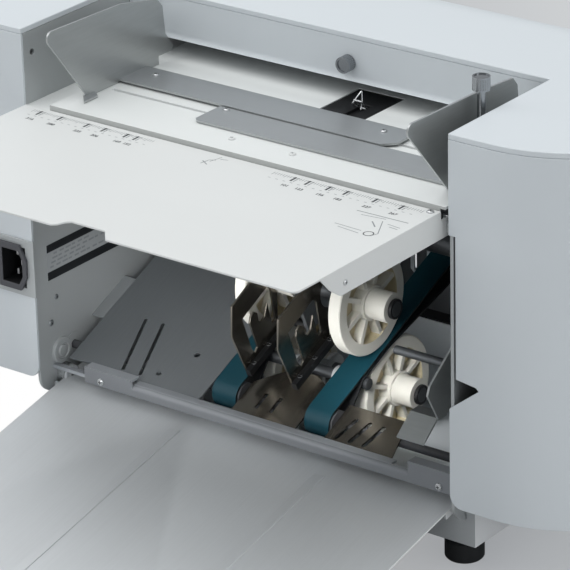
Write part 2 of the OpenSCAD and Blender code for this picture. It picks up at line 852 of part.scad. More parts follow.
// Closed belt: over the front roller, straight up, round the drive roller and back over the lower wheel
// and the snub bar, which hold the return run close under the upper one
module belt_side(off) {
    f = [front_roller_y, front_roller_h];
    d = [drive_roller_y, drive_roller_h];
    w = [lower_wheel_y, lower_wheel_h];
    mid_f = front_belt_r - belt_t / 2;
    mid_d = drive_belt_r - belt_t / 2;
    mid_w = wheel_r + move_c + belt_t / 2;
    mid_n = snub_r + move_c + belt_t / 2;
    n = [snub_y, snub_h];
    fn = n - f;
    wd = d - w;
    a1 = atan2(fn[1], fn[0]) + asin((mid_f + mid_n) / norm(fn));
    a2 = atan2(wd[1], wd[0]) - asin((mid_d + mid_w) / norm(wd));
    polygon(concat(
        arc(f, mid_f + off, 90 + slope, 270 + a1, 20),
        arc(n, mid_n - off, 90 + a1, 90 + slope, 8),
        arc(w, mid_w - off, 90 + slope, 90 + a2, 8),
        arc(d, mid_d + off, -90 + a2, 90 + slope, 20)));
}

module belt(x) {
    place()
        color([0.07, 0.26, 0.3])
            across(x - belt_w / 2, x + belt_w / 2)
                difference() {
                    belt_side(belt_t / 2);
                    belt_side(-belt_t / 2);
                }
}

module belts() {
    belt(left_belt_x);
    belt(right_belt_x);
}

module belt_snub() {
    place() color("silver") bar(left_belt_x - belt_w / 2 - 2, right_belt_x + belt_w / 2 + 2, snub_y, snub_h, snub_r);
}

bearing_r = 10;
shaft_r = 5;

roller_shaft_r = 4;
front_shaft_r = 3;

module belt_rollers(y, z, r) {
    for (x = [left_belt_x, right_belt_x]) bar(x - belt_w / 2 - 1, x + belt_w / 2 + 1, y, z, r);
}

module front_belt_rollers() {
    place() color([0.3, 0.3, 0.32]) {
        belt_rollers(front_roller_y, front_roller_h, roller_r);
        bar(-half - side_t - 1, half + side_t + 1, front_roller_y, front_roller_h, front_shaft_r);
    }
}

pulley_x = half + side_t + 5;
pulley_w = 9;
pulley_r = 12;

module belt_drive_roller() {
    place() color([0.3, 0.3, 0.32]) {
        belt_rollers(drive_roller_y, drive_roller_h, drive_r);
        bar(-half - side_t - 1, pulley_x + pulley_w, drive_roller_y, drive_roller_h, roller_shaft_r);
        pulley(drive_roller_y, drive_roller_h);
    }
}

module pulley(y, z) {
    bar(pulley_x, pulley_x + pulley_w, y, z, pulley_r);
    for (x = [pulley_x - 1.2, pulley_x + pulley_w])
        bar(x, x + 1.2, y, z, pulley_r + 2.2);
}

// Drive belt between the rear fold roller and the conveyor
module conveyor_belt_drive() {
    a = [fold_back_y, fold_h];
    b = [drive_roller_y, drive_roller_h];
    ang = atan2(b[1] - a[1], b[0] - a[0]);
    place()
        color([0.1, 0.1, 0.1])
            across(pulley_x + 0.4, pulley_x + pulley_w - 0.4)
                difference() {
                    polygon(concat(
                        arc(a, pulley_r + move_c + 1.5, ang + 90, ang + 270, 24),
                        arc(b, pulley_r + move_c + 1.5, ang - 90, ang + 90, 24)));
                    polygon(concat(
                        arc(a, pulley_r + move_c, ang + 90, ang + 270, 24),
                        arc(b, pulley_r + move_c, ang - 90, ang + 90, 24)));
                }
}

// Flanged bush in each side plate
module bearing_at(y, z, r, slim = 0) {
    ro = bearing_r - 2 * slim;
    difference() {
        union() {
            for (s = [-1, 1])
                bar(s > 0 ? half - 2 + slim : -half - side_t - 2, s > 0 ? half + side_t + 2 : -half + 2 - slim, y, z,
                    ro);
            for (s = [-1, 1])
                bar(s > 0 ? half - 2 + slim : -half, s > 0 ? half : -half + 2 - slim, y, z, ro + 2);
        }
        bar(-half - 20, half + 20, y, z, r + run_c);
    }
}

module shaft_bearings() {
    place() color("goldenrod") {
        bearing_at(fold_front_y, fold_h, journal_r);
        bearing_at(fold_back_y, fold_h, journal_r);
        bearing_at(drive_roller_y, drive_roller_h, roller_shaft_r);
        bearing_at(front_roller_y, front_roller_h, front_shaft_r, 1.5);
        bearing_at(lift_y, lift_h, shaft_r);
    }
}

// White moulded wheel with a recessed web, ribs and a long hub
module wheel(x, y, z) {
    rim = 8.5;
    web = 1.8;
    translate([x, y, z])
        rotate([0, 90, 0]) {
            difference() {
                union() {
                    rotate_extrude($fn = 96)
                        polygon([[hub_r - 1, 0], [wheel_r - 0.8, 0], [wheel_r, 0.8], [wheel_r, wheel_w - 0.8],
                            [wheel_r - 0.8, wheel_w], [wheel_r - rim, wheel_w], [wheel_r - rim, web],
                            [hub_r - 1, web]]);
                    cylinder(r = hub_r, h = wheel_w + 1.5);
                    cylinder(r = hub_r - 1.6, h = wheel_w + hub_l);
                    for (i = [0 : ribs - 1])
                        rotate((i + 0.5) * 360 / ribs)
                            translate([hub_r - 2, -rib_t / 2, 0])
                                cube([wheel_r - rim - hub_r + 3, rib_t, wheel_w - 0.8]);
                }
                translate([0, 0, -1]) cylinder(r = shaft_r + run_c, h = wheel_w + hub_l + 2);
            }
        }
}

wheel_off = -1.7;
wheel_xs = [left_belt_x + wheel_off, right_belt_x + wheel_off];
shaft_left = wheel_xs[0] - 4;
shaft_right = wheel_xs[1] + wheel_w + hub_l + 3;

module upper_wheels() {
    place() color("ivory") for (x = wheel_xs) wheel(x, upper_wheel_y, upper_wheel_h);
}

module lower_wheels() {
    place() color("ivory") for (x = wheel_xs) wheel(x, lower_wheel_y, lower_wheel_h);
}

wheel_axes = [[upper_wheel_y, upper_wheel_h], [lower_wheel_y, lower_wheel_h]];

// Fixed shafts on which the wheels turn
module wheel_shafts() {
    place() color("silver") for (a = wheel_axes) bar(shaft_left, shaft_right, a[0], a[1], shaft_r);
}

module collar(x0, y, z) {
    difference() {
        bar(x0, x0 + 2.6, y, z, 6.9);
        bar(x0 - 1, x0 + 4, y, z, shaft_r);
    }
}

// Dark retaining collars on the shaft ends, next to the wheels
module shaft_collars() {
    place()
        color([0.2, 0.2, 0.2])
            for (a = wheel_axes) {
                collar(wheel_xs[0] - move_c - 2.6, a[0], a[1]);
                collar(wheel_xs[0] + wheel_w + hub_l + move_c, a[0], a[1]);
                collar(wheel_xs[1] - move_c - 2.6, a[0], a[1]);
                collar(wheel_xs[1] + wheel_w + hub_l + move_c, a[0], a[1]);
            }
}

// ---------- nip frame over the belts ----------
nip_bar_y = 146;
nip_bar_h = case_h - 148;
nip_bar_r = 8;
arm_t = 3;
arm_drop = wheel_r + move_c - 3;
arm_xs = [wheel_xs[0] + wheel_w + hub_l + 4, right_belt_x - belt_w / 2 - arm_t - 1.5];

module nip_crossbar() {
    place() color([0.25, 0.25, 0.26]) bar(-half, half, nip_bar_y, nip_bar_h, nip_bar_r);
}

// Two arms from the crossbar down to the upper wheels' shaft and the rails
module nip_arms() {
    a = [upper_wheel_y, upper_wheel_h];
    b = [nip_bar_y, nip_bar_h];
    ang = atan2(b[1] - a[1], b[0] - a[0]);
    place()
        color([0.15, 0.15, 0.16])
            for (x = arm_xs)
                across(x, x + arm_t)
                    difference() {
                        union() {
                            translate(a) circle(r = 11);
                            translate(b) circle(r = 13);
                            translate(a) rotate(ang) translate([0, -9]) square([norm(b - a), 18]);
                            translate(a) rotate(slope) translate([-13, -arm_drop]) square([36, arm_drop - 2]);
                        }
                        translate(a) circle(r = shaft_r);
                        translate(b) circle(r = nip_bar_r);
                    }
}

fin_xs = [paper_x - 28, paper_x + 10];
rail_w = 4;
rail_l = 60;
rail_tall = 5;
rail_y = 38.5;
rail_up = 9;

// Moves into the frame of the belts' upper face: along the slope and above it
module on_belt(y) {
    translate([y, belt_z(y)]) rotate(slope) children();
}

// Black rails beside the fins, parallel to the belts, tied to the arms by round spacers
module fin_rails() {
    place()
        color([0.08, 0.08, 0.09])
            for (i = [0, 1]) {
                x0 = fin_xs[i] + steel_t;
                across(x0, x0 + rail_w)
                    on_belt(rail_y) translate([0, rail_up - rail_tall]) square([rail_l, rail_tall]);
                for (s = [51.5, 57])
                    across(x0 + rail_w - eps, arm_xs[i])
                        on_belt(rail_y) translate([s, rail_up - rail_tall / 2]) circle(r = 2.5);
                for (s = [8, 26, 44])
                    translate([x0 + rail_w / 2, rail_y, belt_z(rail_y)])
                        rotate([slope, 0, 0])
                            translate([0, s, rail_up]) screw_head(1.7, 1.1);
            }
}

// Hold-down fin: a flat plate with an angular window and a hooked tongue
module fin(x, back) {
    top = case_h;
    place()
        color([0.35, 0.35, 0.36])
            across(x, x + steel_t)
                difference() {
                    intersection() {
                        polygon([[22, top - 191.7], [23, top - 170], [43, top - 160.3], [68, top - 158.8],
                            [80, top - 171], [78.3, top - 182], [78.5, belt_z(78.5) + 4.5],
                            [38, belt_z(38) + 4.5]]);
                        translate([0, 0]) square([back, case_h]);
                    }
                    translate([upper_wheel_y, upper_wheel_h]) circle(r = hub_r - 0.8);
                    // window along the top and down the front, round the hooked tongue
                    polygon([[33.5, top - 183], [61, top - 169.5], [64.5, top - 172.5], [69, top - 196],
                        [65.5, top - 197.5], [60.5, top - 180.5], [57.5, top - 190], [54, top - 192.5],
                        [51, top - 190.5], [50, top - 184.5], [45.5, top - 182], [42.5, top - 185],
                        [41.5, top - 189], [49, top - 209], [46.5, top - 212], [43, top - 208]]);
                }
}

module left_fin() {
    fin(fin_xs[0], 72);
}

module right_fin() {
    fin(fin_xs[1], 90);
}

// Upright brackets from the base pan to the lower wheels' shaft, with arms forward to the snub bar
module lower_brackets() {
    y = lower_wheel_y;
    z = lower_wheel_h;
    place()
        color([0.55, 0.56, 0.57])
            for (x = arm_xs) {
                across(x, x + arm_t)
                    difference() {
                        union() {
                            translate([y, z]) circle(r = 11);
                            translate([y - 11, pan_h]) square([22, z - pan_h]);
                            translate([y - 22, pan_h]) square([44, 10]);
                            translate([y, z]) rotate(atan2(snub_h - z, snub_y - y)) translate([0, -6])
                                square([norm([snub_y - y, snub_h - z]), 12]);
                            translate([snub_y, snub_h]) circle(r = 6.4);
                        }
                        translate([y, z]) circle(r = shaft_r);
                        translate([snub_y, snub_h]) circle(r = snub_r);
                    }
                box(x - 12, x, y - 22, y + 22, pan_h, pan_h + arm_t);
            }
}

// ---------- chute plates ----------
module sloped(y0) {
    translate([0, y0, chute_z(y0)])
        rotate([slope, 0, 0])
            translate([0, 0, -steel_t])
                linear_extrude(steel_t)
                    children();
}

chute_left = -half + 10;
chute_right = left_belt_x - belt_w / 2 - 5;
chute_back = 150;
chute_front = 18;

// Tab from the front edge of a plate to the web of the crossbar
module tab(x0, x1) {
    z = cross_high - 1.5 - move_c;
    box(x0, x1, cross_y + 4, chute_front + 3, z - steel_t, z);
}

// Slot with rounded ends
module slot_hole(w, l) {
    square([w, l]);
    for (y = [0, l]) translate([w / 2, y]) circle(r = w / 2);
}

module hole(x, y, r) {
    translate([x, y]) circle(r = r);
}

// Wide plate at the left with its stepped front edge, two slanted slots and a front lip
module left_chute_plate() {
    s = cos(slope);
    place() color([0.3, 0.31, 0.32]) {
        sloped(chute_front)
            difference() {
                polygon([[chute_left, 3 / s], [chute_left + 39, 4.5 / s], [chute_left + 62, 0],
                    [chute_right - 1, 0], [chute_right, 4], [chute_right, (chute_back - chute_front) / s],
                    [chute_left, (chute_back - chute_front) / s]]);
                for (x = [chute_left + 31.5, chute_left + 46.5])
                    translate([x, 48 / s])
                        rotate(16) {
                            translate([-1.3, -44 / s]) square([2.6, 44 / s]);
                            circle(r = 1.3);
                        }
                hole(chute_left + 88, 33 / s, 2.2);
                hole(chute_left + 72, 11 / s, 1.8);
            }
        // hanger flanges that carry the plate on the side plate
        across(-half, chute_left)
            translate([chute_front + 40, chute_z(chute_front + 40)])
                rotate(slope)
                    translate([0, -steel_t]) square([40, steel_t]);
    }
}

centre_left = left_belt_x + belt_w / 2 + 2;
centre_right = right_belt_x - belt_w / 2 - 2;

// Narrow plate between the belts, carried on a bracket from the crossbar
module centre_chute_plate() {
    s = cos(slope);
    mid = (centre_left + centre_right) / 2;
    place() color([0.35, 0.35, 0.36]) {
        sloped(chute_front)
            difference() {
                polygon([[centre_left, 0], [centre_right, 0], [centre_right, 38 / s], [mid + 14, 44 / s],
                    [mid - 6, 44 / s], [centre_left, 26 / s]]);
                for (x = [mid - 12, mid])
                    translate([x, 8]) square([3, 14]);
            }
        tab(mid - 8, mid + 8);
    }
}

comb_left = right_belt_x + belt_w / 2 + 2;

// Slotted front plate to the right of the right belt and its small upright fin between the belts
module comb_plate() {
    s = cos(slope);
    mid = (centre_left + centre_right) / 2;
    place() color([0.4, 0.4, 0.41]) {
        sloped(chute_front)
            difference() {
                polygon([[comb_left, 0], [comb_left + 54, 0], [comb_left + 47, 30 / s], [comb_left, 30 / s]]);
                for (i = [0 : 2])
                    translate([comb_left + 6 + i * 11, 5])
                        rotate(-14)
                            slot_hole(3.4, 18);
            }
        tab(comb_left + 4, comb_left + 30);
    }
}

// ---------- wing guide ----------
wing_x = half - wing_in;
wing_rod_y = 66;
wing_rod_h = wing_crease_h - 9;
wing_rod_r = 3;

// Edge guide folded from sheet: flared upper panel, upright middle, sloping front lip
module wing_guide() {
    z = wing_crease_h;
    low = z - 19.6;
    flare = 10;
    lip = 20;
    lip_a = 38;
    tall = 36;
    run = [sin(flare), cos(flare)];
    side = [cos(flare), -sin(flare)];
    in_corner = [wing_x, z];
    out_corner = [wing_x + steel_t, z - steel_t * tan(flare / 2)];
    place() color([0.55, 0.55, 0.57]) {
        difference() {
            union() {
                intersection() {
                    translate([0, 90, 0])
                        rotate([90, 0, 0])
                            linear_extrude(100)
                                polygon([[wing_x, low - steel_t], in_corner, in_corner + tall * run,
                                    in_corner + tall * run + steel_t * side, out_corner,
                                    [wing_x + steel_t, low - steel_t]]);
                    across(wing_x - 5, wing_x + 40)
                        polygon([[3.4, z], [14.5, low], [14.5, low - 5], [24, low - 5], [24, low], [78, low],
                            [78, z + tall + 1], [33, z + tall + 1], [28, z + 32], [4.2, z + 7]]);
                }
                box(wing_x + steel_t / 2, wing_x + 9, wing_rod_y - 7, wing_rod_y + 7, z - 17, z - 3);
                across(wing_x - lip, wing_x + steel_t / 2)
                    polygon([[24, low], [14.5, low], [14.5 - lip * cos(lip_a), low - lip * sin(lip_a)],
                        [14.5 - lip * cos(lip_a) + steel_t * sin(lip_a),
                            low - lip * sin(lip_a) - steel_t * cos(lip_a)],
                        [14.5 + steel_t * tan(lip_a / 2), low - steel_t], [24, low - steel_t]]);
            }
            bar(wing_x - 1, wing_x + 12, wing_rod_y, wing_rod_h, wing_rod_r + run_c);
        }
    }
}

module wing_rod() {
    place() color("silver") bar(wing_x - 68, half + side_t, wing_rod_y, wing_rod_h, wing_rod_r);
}

// ---------- delivery tray ----------
ear_r = 7;
boss_r = 7.5;
out_half = half - 6;

// Sloping sheet with two pressed ribs; ears at its rear corners turn on the pivots
module delivery_tray() {
    place()
        color("lightgrey")
            translate([0, out_pivot_y, out_pivot_h])
                rotate([out_slope, 0, 0]) {
                    difference() {
                        union() {
                            translate([0, 0, out_lift])
                                linear_extrude(out_t)
                                    polygon([[-out_half, -out_reach], [out_half, -out_reach], [out_half, 0],
                                        [out_half - 10, 1.5], [left_belt_x - 20, 1.5], [left_belt_x - 30, 18],
                                        [-out_half, 18]]);
                            for (x = [paper_x - 62, paper_x + 58])
                                across(x - 4, x + 4)
                                    polygon([[-out_reach + 4, out_t], [-22, out_t], [-24, out_t + 0.8],
                                        [-out_reach + 8, out_t + 0.8]]);
                            both_sides() {
                                across(out_half - 2, out_half)
                                    union() {
                                        circle(r = ear_r);
                                        translate([-22, -ear_r + 3]) square([22, 5]);
                                    }
                            }
                        }
                        both_sides() bar(out_half - 4, out_half + 4, 0, 0, 3 + run_c);
                    }
                }
}

module tray_pivots() {
    place()
        color("lightgrey")
            both_sides() {
                bar(out_half + move_c, half, out_pivot_y, out_pivot_h, boss_r);
                bar(out_half - 3, out_half + 1, out_pivot_y, out_pivot_h, 3);
            }
}

// ---------- fold unit ----------
fold_front_y = fold_y - fold_r - fold_gap / 2;
fold_back_y = fold_y + fold_r + fold_gap / 2;
fold_axis = fold_back_y - fold_front_y;
fold_z = 18;
fold_m = fold_axis / fold_z;
fold_gear_x = -half - side_t - 4;
gear_w = 8;

module fold_roller(y) {
    bar(-half + 16, half - 16, y, fold_h, fold_r);
}

module front_fold_roller() {
    place() color([0.45, 0.46, 0.48]) {
        fold_roller(fold_front_y);
        bar(fold_gear_x - gear_w, half + side_t + 1, fold_front_y, fold_h, journal_r);
        cross_gear(fold_gear_x - gear_w, fold_gear_x, fold_front_y, fold_h, fold_m, fold_z, 0, journal_r - eps);
    }
}

module rear_fold_roller() {
    place() color([0.45, 0.46, 0.48]) {
        fold_roller(fold_back_y);
        bar(fold_gear_x - gear_w, pulley_x + pulley_w, fold_back_y, fold_h, journal_r);
        pulley(fold_back_y, fold_h);
        cross_gear(fold_gear_x - gear_w, fold_gear_x, fold_back_y, fold_h, fold_m, fold_z, 180 + 180 / fold_z,
            journal_r - eps);
    }
}

knife_w = 280;
knife_edge_h = deck_h + 7;
knife_top = rail_h - 2;
lift_m = 1;
lift_z = 16;
lift_r = lift_m * lift_z / 2;
lift_y = fold_y - 8 - lift_r;
lift_h = deck_h + 14;
lift_x = half - 9;

// Fold knife: thin blade, stiffening back and a toothed upright at each end
module fold_knife() {
    p = PI * lift_m;
    n = 20;
    place() color([0.7, 0.71, 0.73]) {
        box(paper_x - knife_w / 2, paper_x + knife_w / 2, fold_y - 0.75, fold_y + 0.75, knife_edge_h, knife_top);
        box(-lift_x - 3, lift_x + 3, fold_y + 0.75, fold_y + 2.75, knife_top - 10, knife_top);
        box(-lift_x - 3, lift_x + 3, fold_y - 2.75, fold_y - 0.75, knife_top - 10, knife_top);
        box(-lift_x - 3, lift_x + 3, fold_y - 0.75, fold_y + 0.75, knife_top - 10, knife_top);
        for (x = [-lift_x, lift_x])
            across(x - 3, x + 3)
                translate([fold_y - 8, lift_h])
                    intersection() {
                        rotate(90) rack_teeth_down(n, p);
                        translate([-2, -lift_span]) square([20, lift_span + knife_top - lift_h]);
                    }
    }
}

lift_span = 16;

// Upright rack, teeth towards the front, with its pitch line at zero
module rack_teeth_down(n, p) {
    a = 0.25 * p - 0.12;
    t = tan(20) * lift_m;
    polygon(concat(
        [[-n * p / 2, -10], [-n * p / 2, -1.22 * lift_m]],
        [for (k = [-n / 2 : n / 2 - 1]) let(c = (k + 0.5) * p) each [[c - a - 1.22 * t, -1.22 * lift_m],
            [c - a + 0.92 * t, 0.92 * lift_m], [c + a - 0.92 * t, 0.92 * lift_m],
            [c + a + 1.22 * t, -1.22 * lift_m]]],
        [[n * p / 2, -1.22 * lift_m], [n * p / 2, -10]]));
}

module knife_shaft() {
    place() color("dimgrey") {
        bar(-half - side_t - 1, half + side_t + 1, lift_y, lift_h, shaft_r);
        for (x = [-lift_x, lift_x])
            cross_gear(x - 3, x + 3, lift_y, lift_h, lift_m, lift_z, 0, shaft_r - eps);
    }
}

// Small geared motor that lifts and drives the knife
module knife_motor() {
    x0 = -half - side_t;
    place()
        color([0.3, 0.31, 0.33])
            difference() {
                union() {
                    bar(x0 - 16, x0, lift_y, lift_h, 17);
                    bar(x0 - 52, x0 - 16 + eps, lift_y, lift_h, 13);
                    bar(x0 - 56, x0 - 52 + eps, lift_y, lift_h, 4);
                }
                bar(x0 - 4, x0 + 1, lift_y, lift_h, bearing_r + 1);
            }
}

// Control board on four spacers inside the right housing
module control_board() {
    x0 = half + side_t;
    y0 = 60;
    z0 = 92;
    place() color([0.1, 0.35, 0.2]) {
        box(x0 + 8, x0 + 9.6, y0, y0 + 90, z0, z0 + 110);
        for (y = [y0 + 6, y0 + 84], z = [z0 + 6, z0 + 104]) bar(x0, x0 + 8 + eps, y, z, 3);
        box(x0 + 9.6 - eps, x0 + 42, y0 + 8, y0 + 44, z0 + 12, z0 + 52);
        box(x0 + 9.6 - eps, x0 + 22, y0 + 56, y0 + 82, z0 + 16, z0 + 30);
        for (y = [y0 + 58, y0 + 76]) bar(x0 + 9.6 - eps, x0 + 36, y, z0 + 84, 7);
        for (i = [0 : 3]) box(x0 + 9.6 - eps, x0 + 18, y0 + 10 + i * 10, y0 + 17 + i * 10, z0 + 90, z0 + 102);
    }
}

// ---------- drive ----------
idler_z = 16;
idler_big_z = 40;
motor_z = 12;
idler_a = -120;
idler_reach = fold_m * (fold_z + idler_z) / 2;
idler_y = fold_front_y + idler_reach * cos(idler_a);
idler_h = fold_h + idler_reach * sin(idler_a);
idler_axle_r = 4;
motor_a = -107;
motor_m = 2;
motor_reach = motor_m * (idler_big_z + motor_z) / 2;
motor_y = idler_y + motor_reach * cos(motor_a);
motor_h = idler_h + motor_reach * sin(motor_a);
big_gear_x = fold_gear_x - gear_w - 2;
big_gear_w = 6;
mount_x = big_gear_x - big_gear_w - 2;

// Turns that put a tooth of one gear into a gap of the other
function mesh_turn(dir_a, z_a, turn_a, z_b) =
    dir_a + 180 + 180 / z_b + (dir_a - turn_a) * z_a / z_b;

idler_turn = mesh_turn(idler_a, fold_z, 0, idler_z);
motor_turn = mesh_turn(motor_a, idler_big_z, 0, motor_z);

module reduction_gear() {
    place() color("ivory") {
        cross_gear(fold_gear_x - gear_w, fold_gear_x, idler_y, idler_h, fold_m, idler_z, idler_turn,
            idler_axle_r + run_c);
        cross_gear(big_gear_x - big_gear_w, big_gear_x, idler_y, idler_h, motor_m, idler_big_z, 0,
            idler_axle_r + run_c);
        difference() {
            bar(big_gear_x - eps, fold_gear_x - gear_w + eps, idler_y, idler_h, 12);
            bar(big_gear_x - 1, fold_gear_x, idler_y, idler_h, idler_axle_r + run_c);
        }
    }
}

module motor_pinion() {
    place() color("goldenrod") {
        cross_gear(big_gear_x - big_gear_w, big_gear_x, motor_y, motor_h, motor_m, motor_z, motor_turn, 3 - eps);
        bar(mount_x - 5, big_gear_x, motor_y, motor_h, 3);
    }
}

// Motor with its mounting plate, the standoffs and the stub axle of the reduction gear
module motor() {
    posts = [[motor_y - 26, motor_h - 22], [motor_y + 26, motor_h - 22], [motor_y - 34, motor_h + 20]];
    place() color([0.35, 0.36, 0.38]) {
        difference() {
            union() {
                across(mount_x - 3, mount_x)
                    union() {
                        translate([motor_y - 40, motor_h - 30]) square([76, 56]);
                    }
                bar(mount_x - 70, mount_x - 3, motor_y, motor_h, 28);
                bar(mount_x - 74, mount_x - 70, motor_y, motor_h, 12);
            }
            bar(mount_x - 8, mount_x + 1, motor_y, motor_h, 8);
        }
        for (p = posts) bar(mount_x, -half - side_t, p[0], p[1], 4);
    }
}

base_pan();
feet();
left_side_plate();
right_side_plate();
left_housing();
right_housing();
top_cover();
hood_apron();
rear_panel();
inlet_plate();
power_inlet();
inlet_pins();
feed_tray();
tray_spacers();
case_screws();
deck_plate();
rear_deck();
sensor_plate();
feeler_wire();
cover_knob();
left_guide();
right_guide();
left_rack();
right_rack();
guide_pinion();
guide_post();
guide_thumbscrew();
crossbar();
left_chute_plate();
centre_chute_plate();
comb_plate();
belts();
front_belt_rollers();
belt_drive_roller();
shaft_bearings();
upper_wheels();
lower_wheels();
wheel_shafts();
shaft_collars();
nip_arms();
nip_crossbar();
left_fin();
right_fin();
fin_rails();
lower_brackets();
wing_guide();
wing_rod();
delivery_tray();
tray_pivots();
front_fold_roller();
rear_fold_roller();
fold_knife();
knife_shaft();
knife_motor();
motor();
motor_pinion();
reduction_gear();
conveyor_belt_drive();
control_board();
belt_snub();
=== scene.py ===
import json
import math
import bmesh
import bpy
from mathutils import Matrix, Vector


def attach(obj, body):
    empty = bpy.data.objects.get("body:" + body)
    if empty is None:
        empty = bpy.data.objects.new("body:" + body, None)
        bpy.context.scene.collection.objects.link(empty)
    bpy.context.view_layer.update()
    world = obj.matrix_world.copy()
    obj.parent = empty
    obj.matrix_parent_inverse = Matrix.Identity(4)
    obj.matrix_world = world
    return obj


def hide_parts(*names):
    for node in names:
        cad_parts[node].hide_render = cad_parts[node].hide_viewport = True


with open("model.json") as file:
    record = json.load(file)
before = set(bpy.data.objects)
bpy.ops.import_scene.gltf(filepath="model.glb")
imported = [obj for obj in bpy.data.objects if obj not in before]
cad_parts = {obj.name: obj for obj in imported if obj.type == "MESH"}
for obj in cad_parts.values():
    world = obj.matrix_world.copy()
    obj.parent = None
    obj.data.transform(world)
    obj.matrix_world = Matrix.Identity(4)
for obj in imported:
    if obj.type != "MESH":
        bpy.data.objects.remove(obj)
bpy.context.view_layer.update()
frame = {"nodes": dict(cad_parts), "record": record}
NODES = frame["nodes"]
RECORD = frame["record"]
BODY_OF = {n: b for b, ns in RECORD["behaviour"]["bodies"].items() for n in ns}
SLOT_OF = {s["node"]: s["material_slot"] for s in RECORD["subparts"]}
MM = 0.001


# ---------- colours and shader groups ----------
def tone(code):
    """Linear colour of a six-digit hex tone."""
    parts = [int(code[i:i + 2], 16) / 255 for i in (0, 2, 4)]
    return tuple(c / 12.92 if c <= 0.04045 else ((c + 0.055) / 1.055) ** 2.4 for c in parts) + (1.0,)


def new_group(name, inputs, outputs):
    group = bpy.data.node_groups.new(name, "ShaderNodeTree")
    for label, kind, value in inputs:
        socket = group.interface.new_socket(label, in_out="INPUT", socket_type=kind)
        socket.default_value = value
    for label, kind in outputs:
        group.interface.new_socket(label, in_out="OUTPUT", socket_type=kind)
    return group, group.nodes.new("NodeGroupInput"), group.nodes.new("NodeGroupOutput")


def math_node(tree, op, a, b=None, clamp=False):
    node = tree.nodes.new("ShaderNodeMath")
    node.operation = op
    node.use_clamp = clamp
    for i, v in enumerate((a, b)):
        if v is None:
            continue
        if isinstance(v, (int, float)):
            node.inputs[i].default_value = v
        else:
            tree.links.new(v, node.inputs[i])
    return node.outputs[0]


def grain_group():
    """Fine surface grain: a stretched noise for height and shade, and a broad one for handling marks."""
    group, given, out = new_group(
        "surface_grain",
        [("Stretch", "NodeSocketVector", (1, 1, 1)), ("Scale", "NodeSocketFloat", 400.0),
         ("Shade Depth", "NodeSocketFloat", 0.05), ("Marks", "NodeSocketFloat", 0.1)],
        [("Height", "NodeSocketFloat"), ("Shade", "NodeSocketFloat"), ("Gloss Shift", "NodeSocketFloat")])
    coords = group.nodes.new("ShaderNodeTexCoord")
    mapping = group.nodes.new("ShaderNodeMapping")
    group.links.new(coords.outputs["Object"], mapping.inputs["Vector"])
    group.links.new(given.outputs["Stretch"], mapping.inputs["Scale"])
    fine = group.nodes.new("ShaderNodeTexNoise")
    fine.inputs["Detail"].default_value = 3.0
    group.links.new(mapping.outputs[0], fine.inputs["Vector"])
    group.links.new(given.outputs["Scale"], fine.inputs["Scale"])
    broad = group.nodes.new("ShaderNodeTexNoise")
    broad.inputs["Scale"].default_value = 14.0
    broad.inputs["Detail"].default_value = 4.0
    group.links.new(coords.outputs["Object"], broad.inputs["Vector"])
    centred = math_node(group, "SUBTRACT", fine.outputs[0], 0.5)
    shade = math_node(group, "MULTIPLY", centred, given.outputs["Shade Depth"])
    marks = math_node(group, "SUBTRACT", broad.outputs[0], 0.5)
    marks = math_node(group, "MULTIPLY", marks, given.outputs["Marks"])
    group.links.new(fine.outputs[0], out.inputs["Height"])
    group.links.new(math_node(group, "ADD", math_node(group, "ADD", shade, marks), 1.0), out.inputs["Shade"])
    group.links.new(math_node(group, "ADD", centred, marks), out.inputs["Gloss Shift"])
    return group


GRAIN = grain_group()
GRAIN_DEPTH = 0.0002


def finish_material(name, colour, rough, metallic=0.0, scale=400.0, stretch=(1, 1, 1), shade=0.05,
                    marks=0.08, bump=0.1, gloss_swing=0.12, coat=0.0, specular=0.5):
    """Principled material of one tone, with the shared grain in its colour, gloss and height."""
    mat = bpy.data.materials.new(name)
    mat.use_nodes = True
    tree = mat.node_tree
    shader = tree.nodes["Principled BSDF"]
    grain = tree.nodes.new("ShaderNodeGroup")
    grain.node_tree = GRAIN
    grain.inputs["Stretch"].default_value = stretch
    grain.inputs["Scale"].default_value = scale
    grain.inputs["Shade Depth"].default_value = shade
    grain.inputs["Marks"].default_value = marks
    mix = tree.nodes.new("ShaderNodeMix")
    mix.data_type = "RGBA"
    mix.blend_type = "MULTIPLY"
    mix.inputs["Factor"].default_value = 1.0
    mix.inputs["A"].default_value = tone(colour)
    tree.links.new(grain.outputs["Shade"], mix.inputs["B"])
    tree.links.new(mix.outputs["Result"], shader.inputs["Base Color"])
    gloss = math_node(tree, "MULTIPLY", grain.outputs["Gloss Shift"], gloss_swing)
    tree.links.new(math_node(tree, "ADD", gloss, rough, clamp=True), shader.inputs["Roughness"])
    hump = tree.nodes.new("ShaderNodeBump")
    hump.inputs["Strength"].default_value = bump
    hump.inputs["Distance"].default_value = GRAIN_DEPTH
    tree.links.new(grain.outputs["Height"], hump.inputs["Height"])
    tree.links.new(hump.outputs[0], shader.inputs["Normal"])
    shader.inputs["Metallic"].default_value = metallic
    shader.inputs["Coat Weight"].default_value = coat
    shader.inputs["Specular IOR Level"].default_value = specular
    return mat


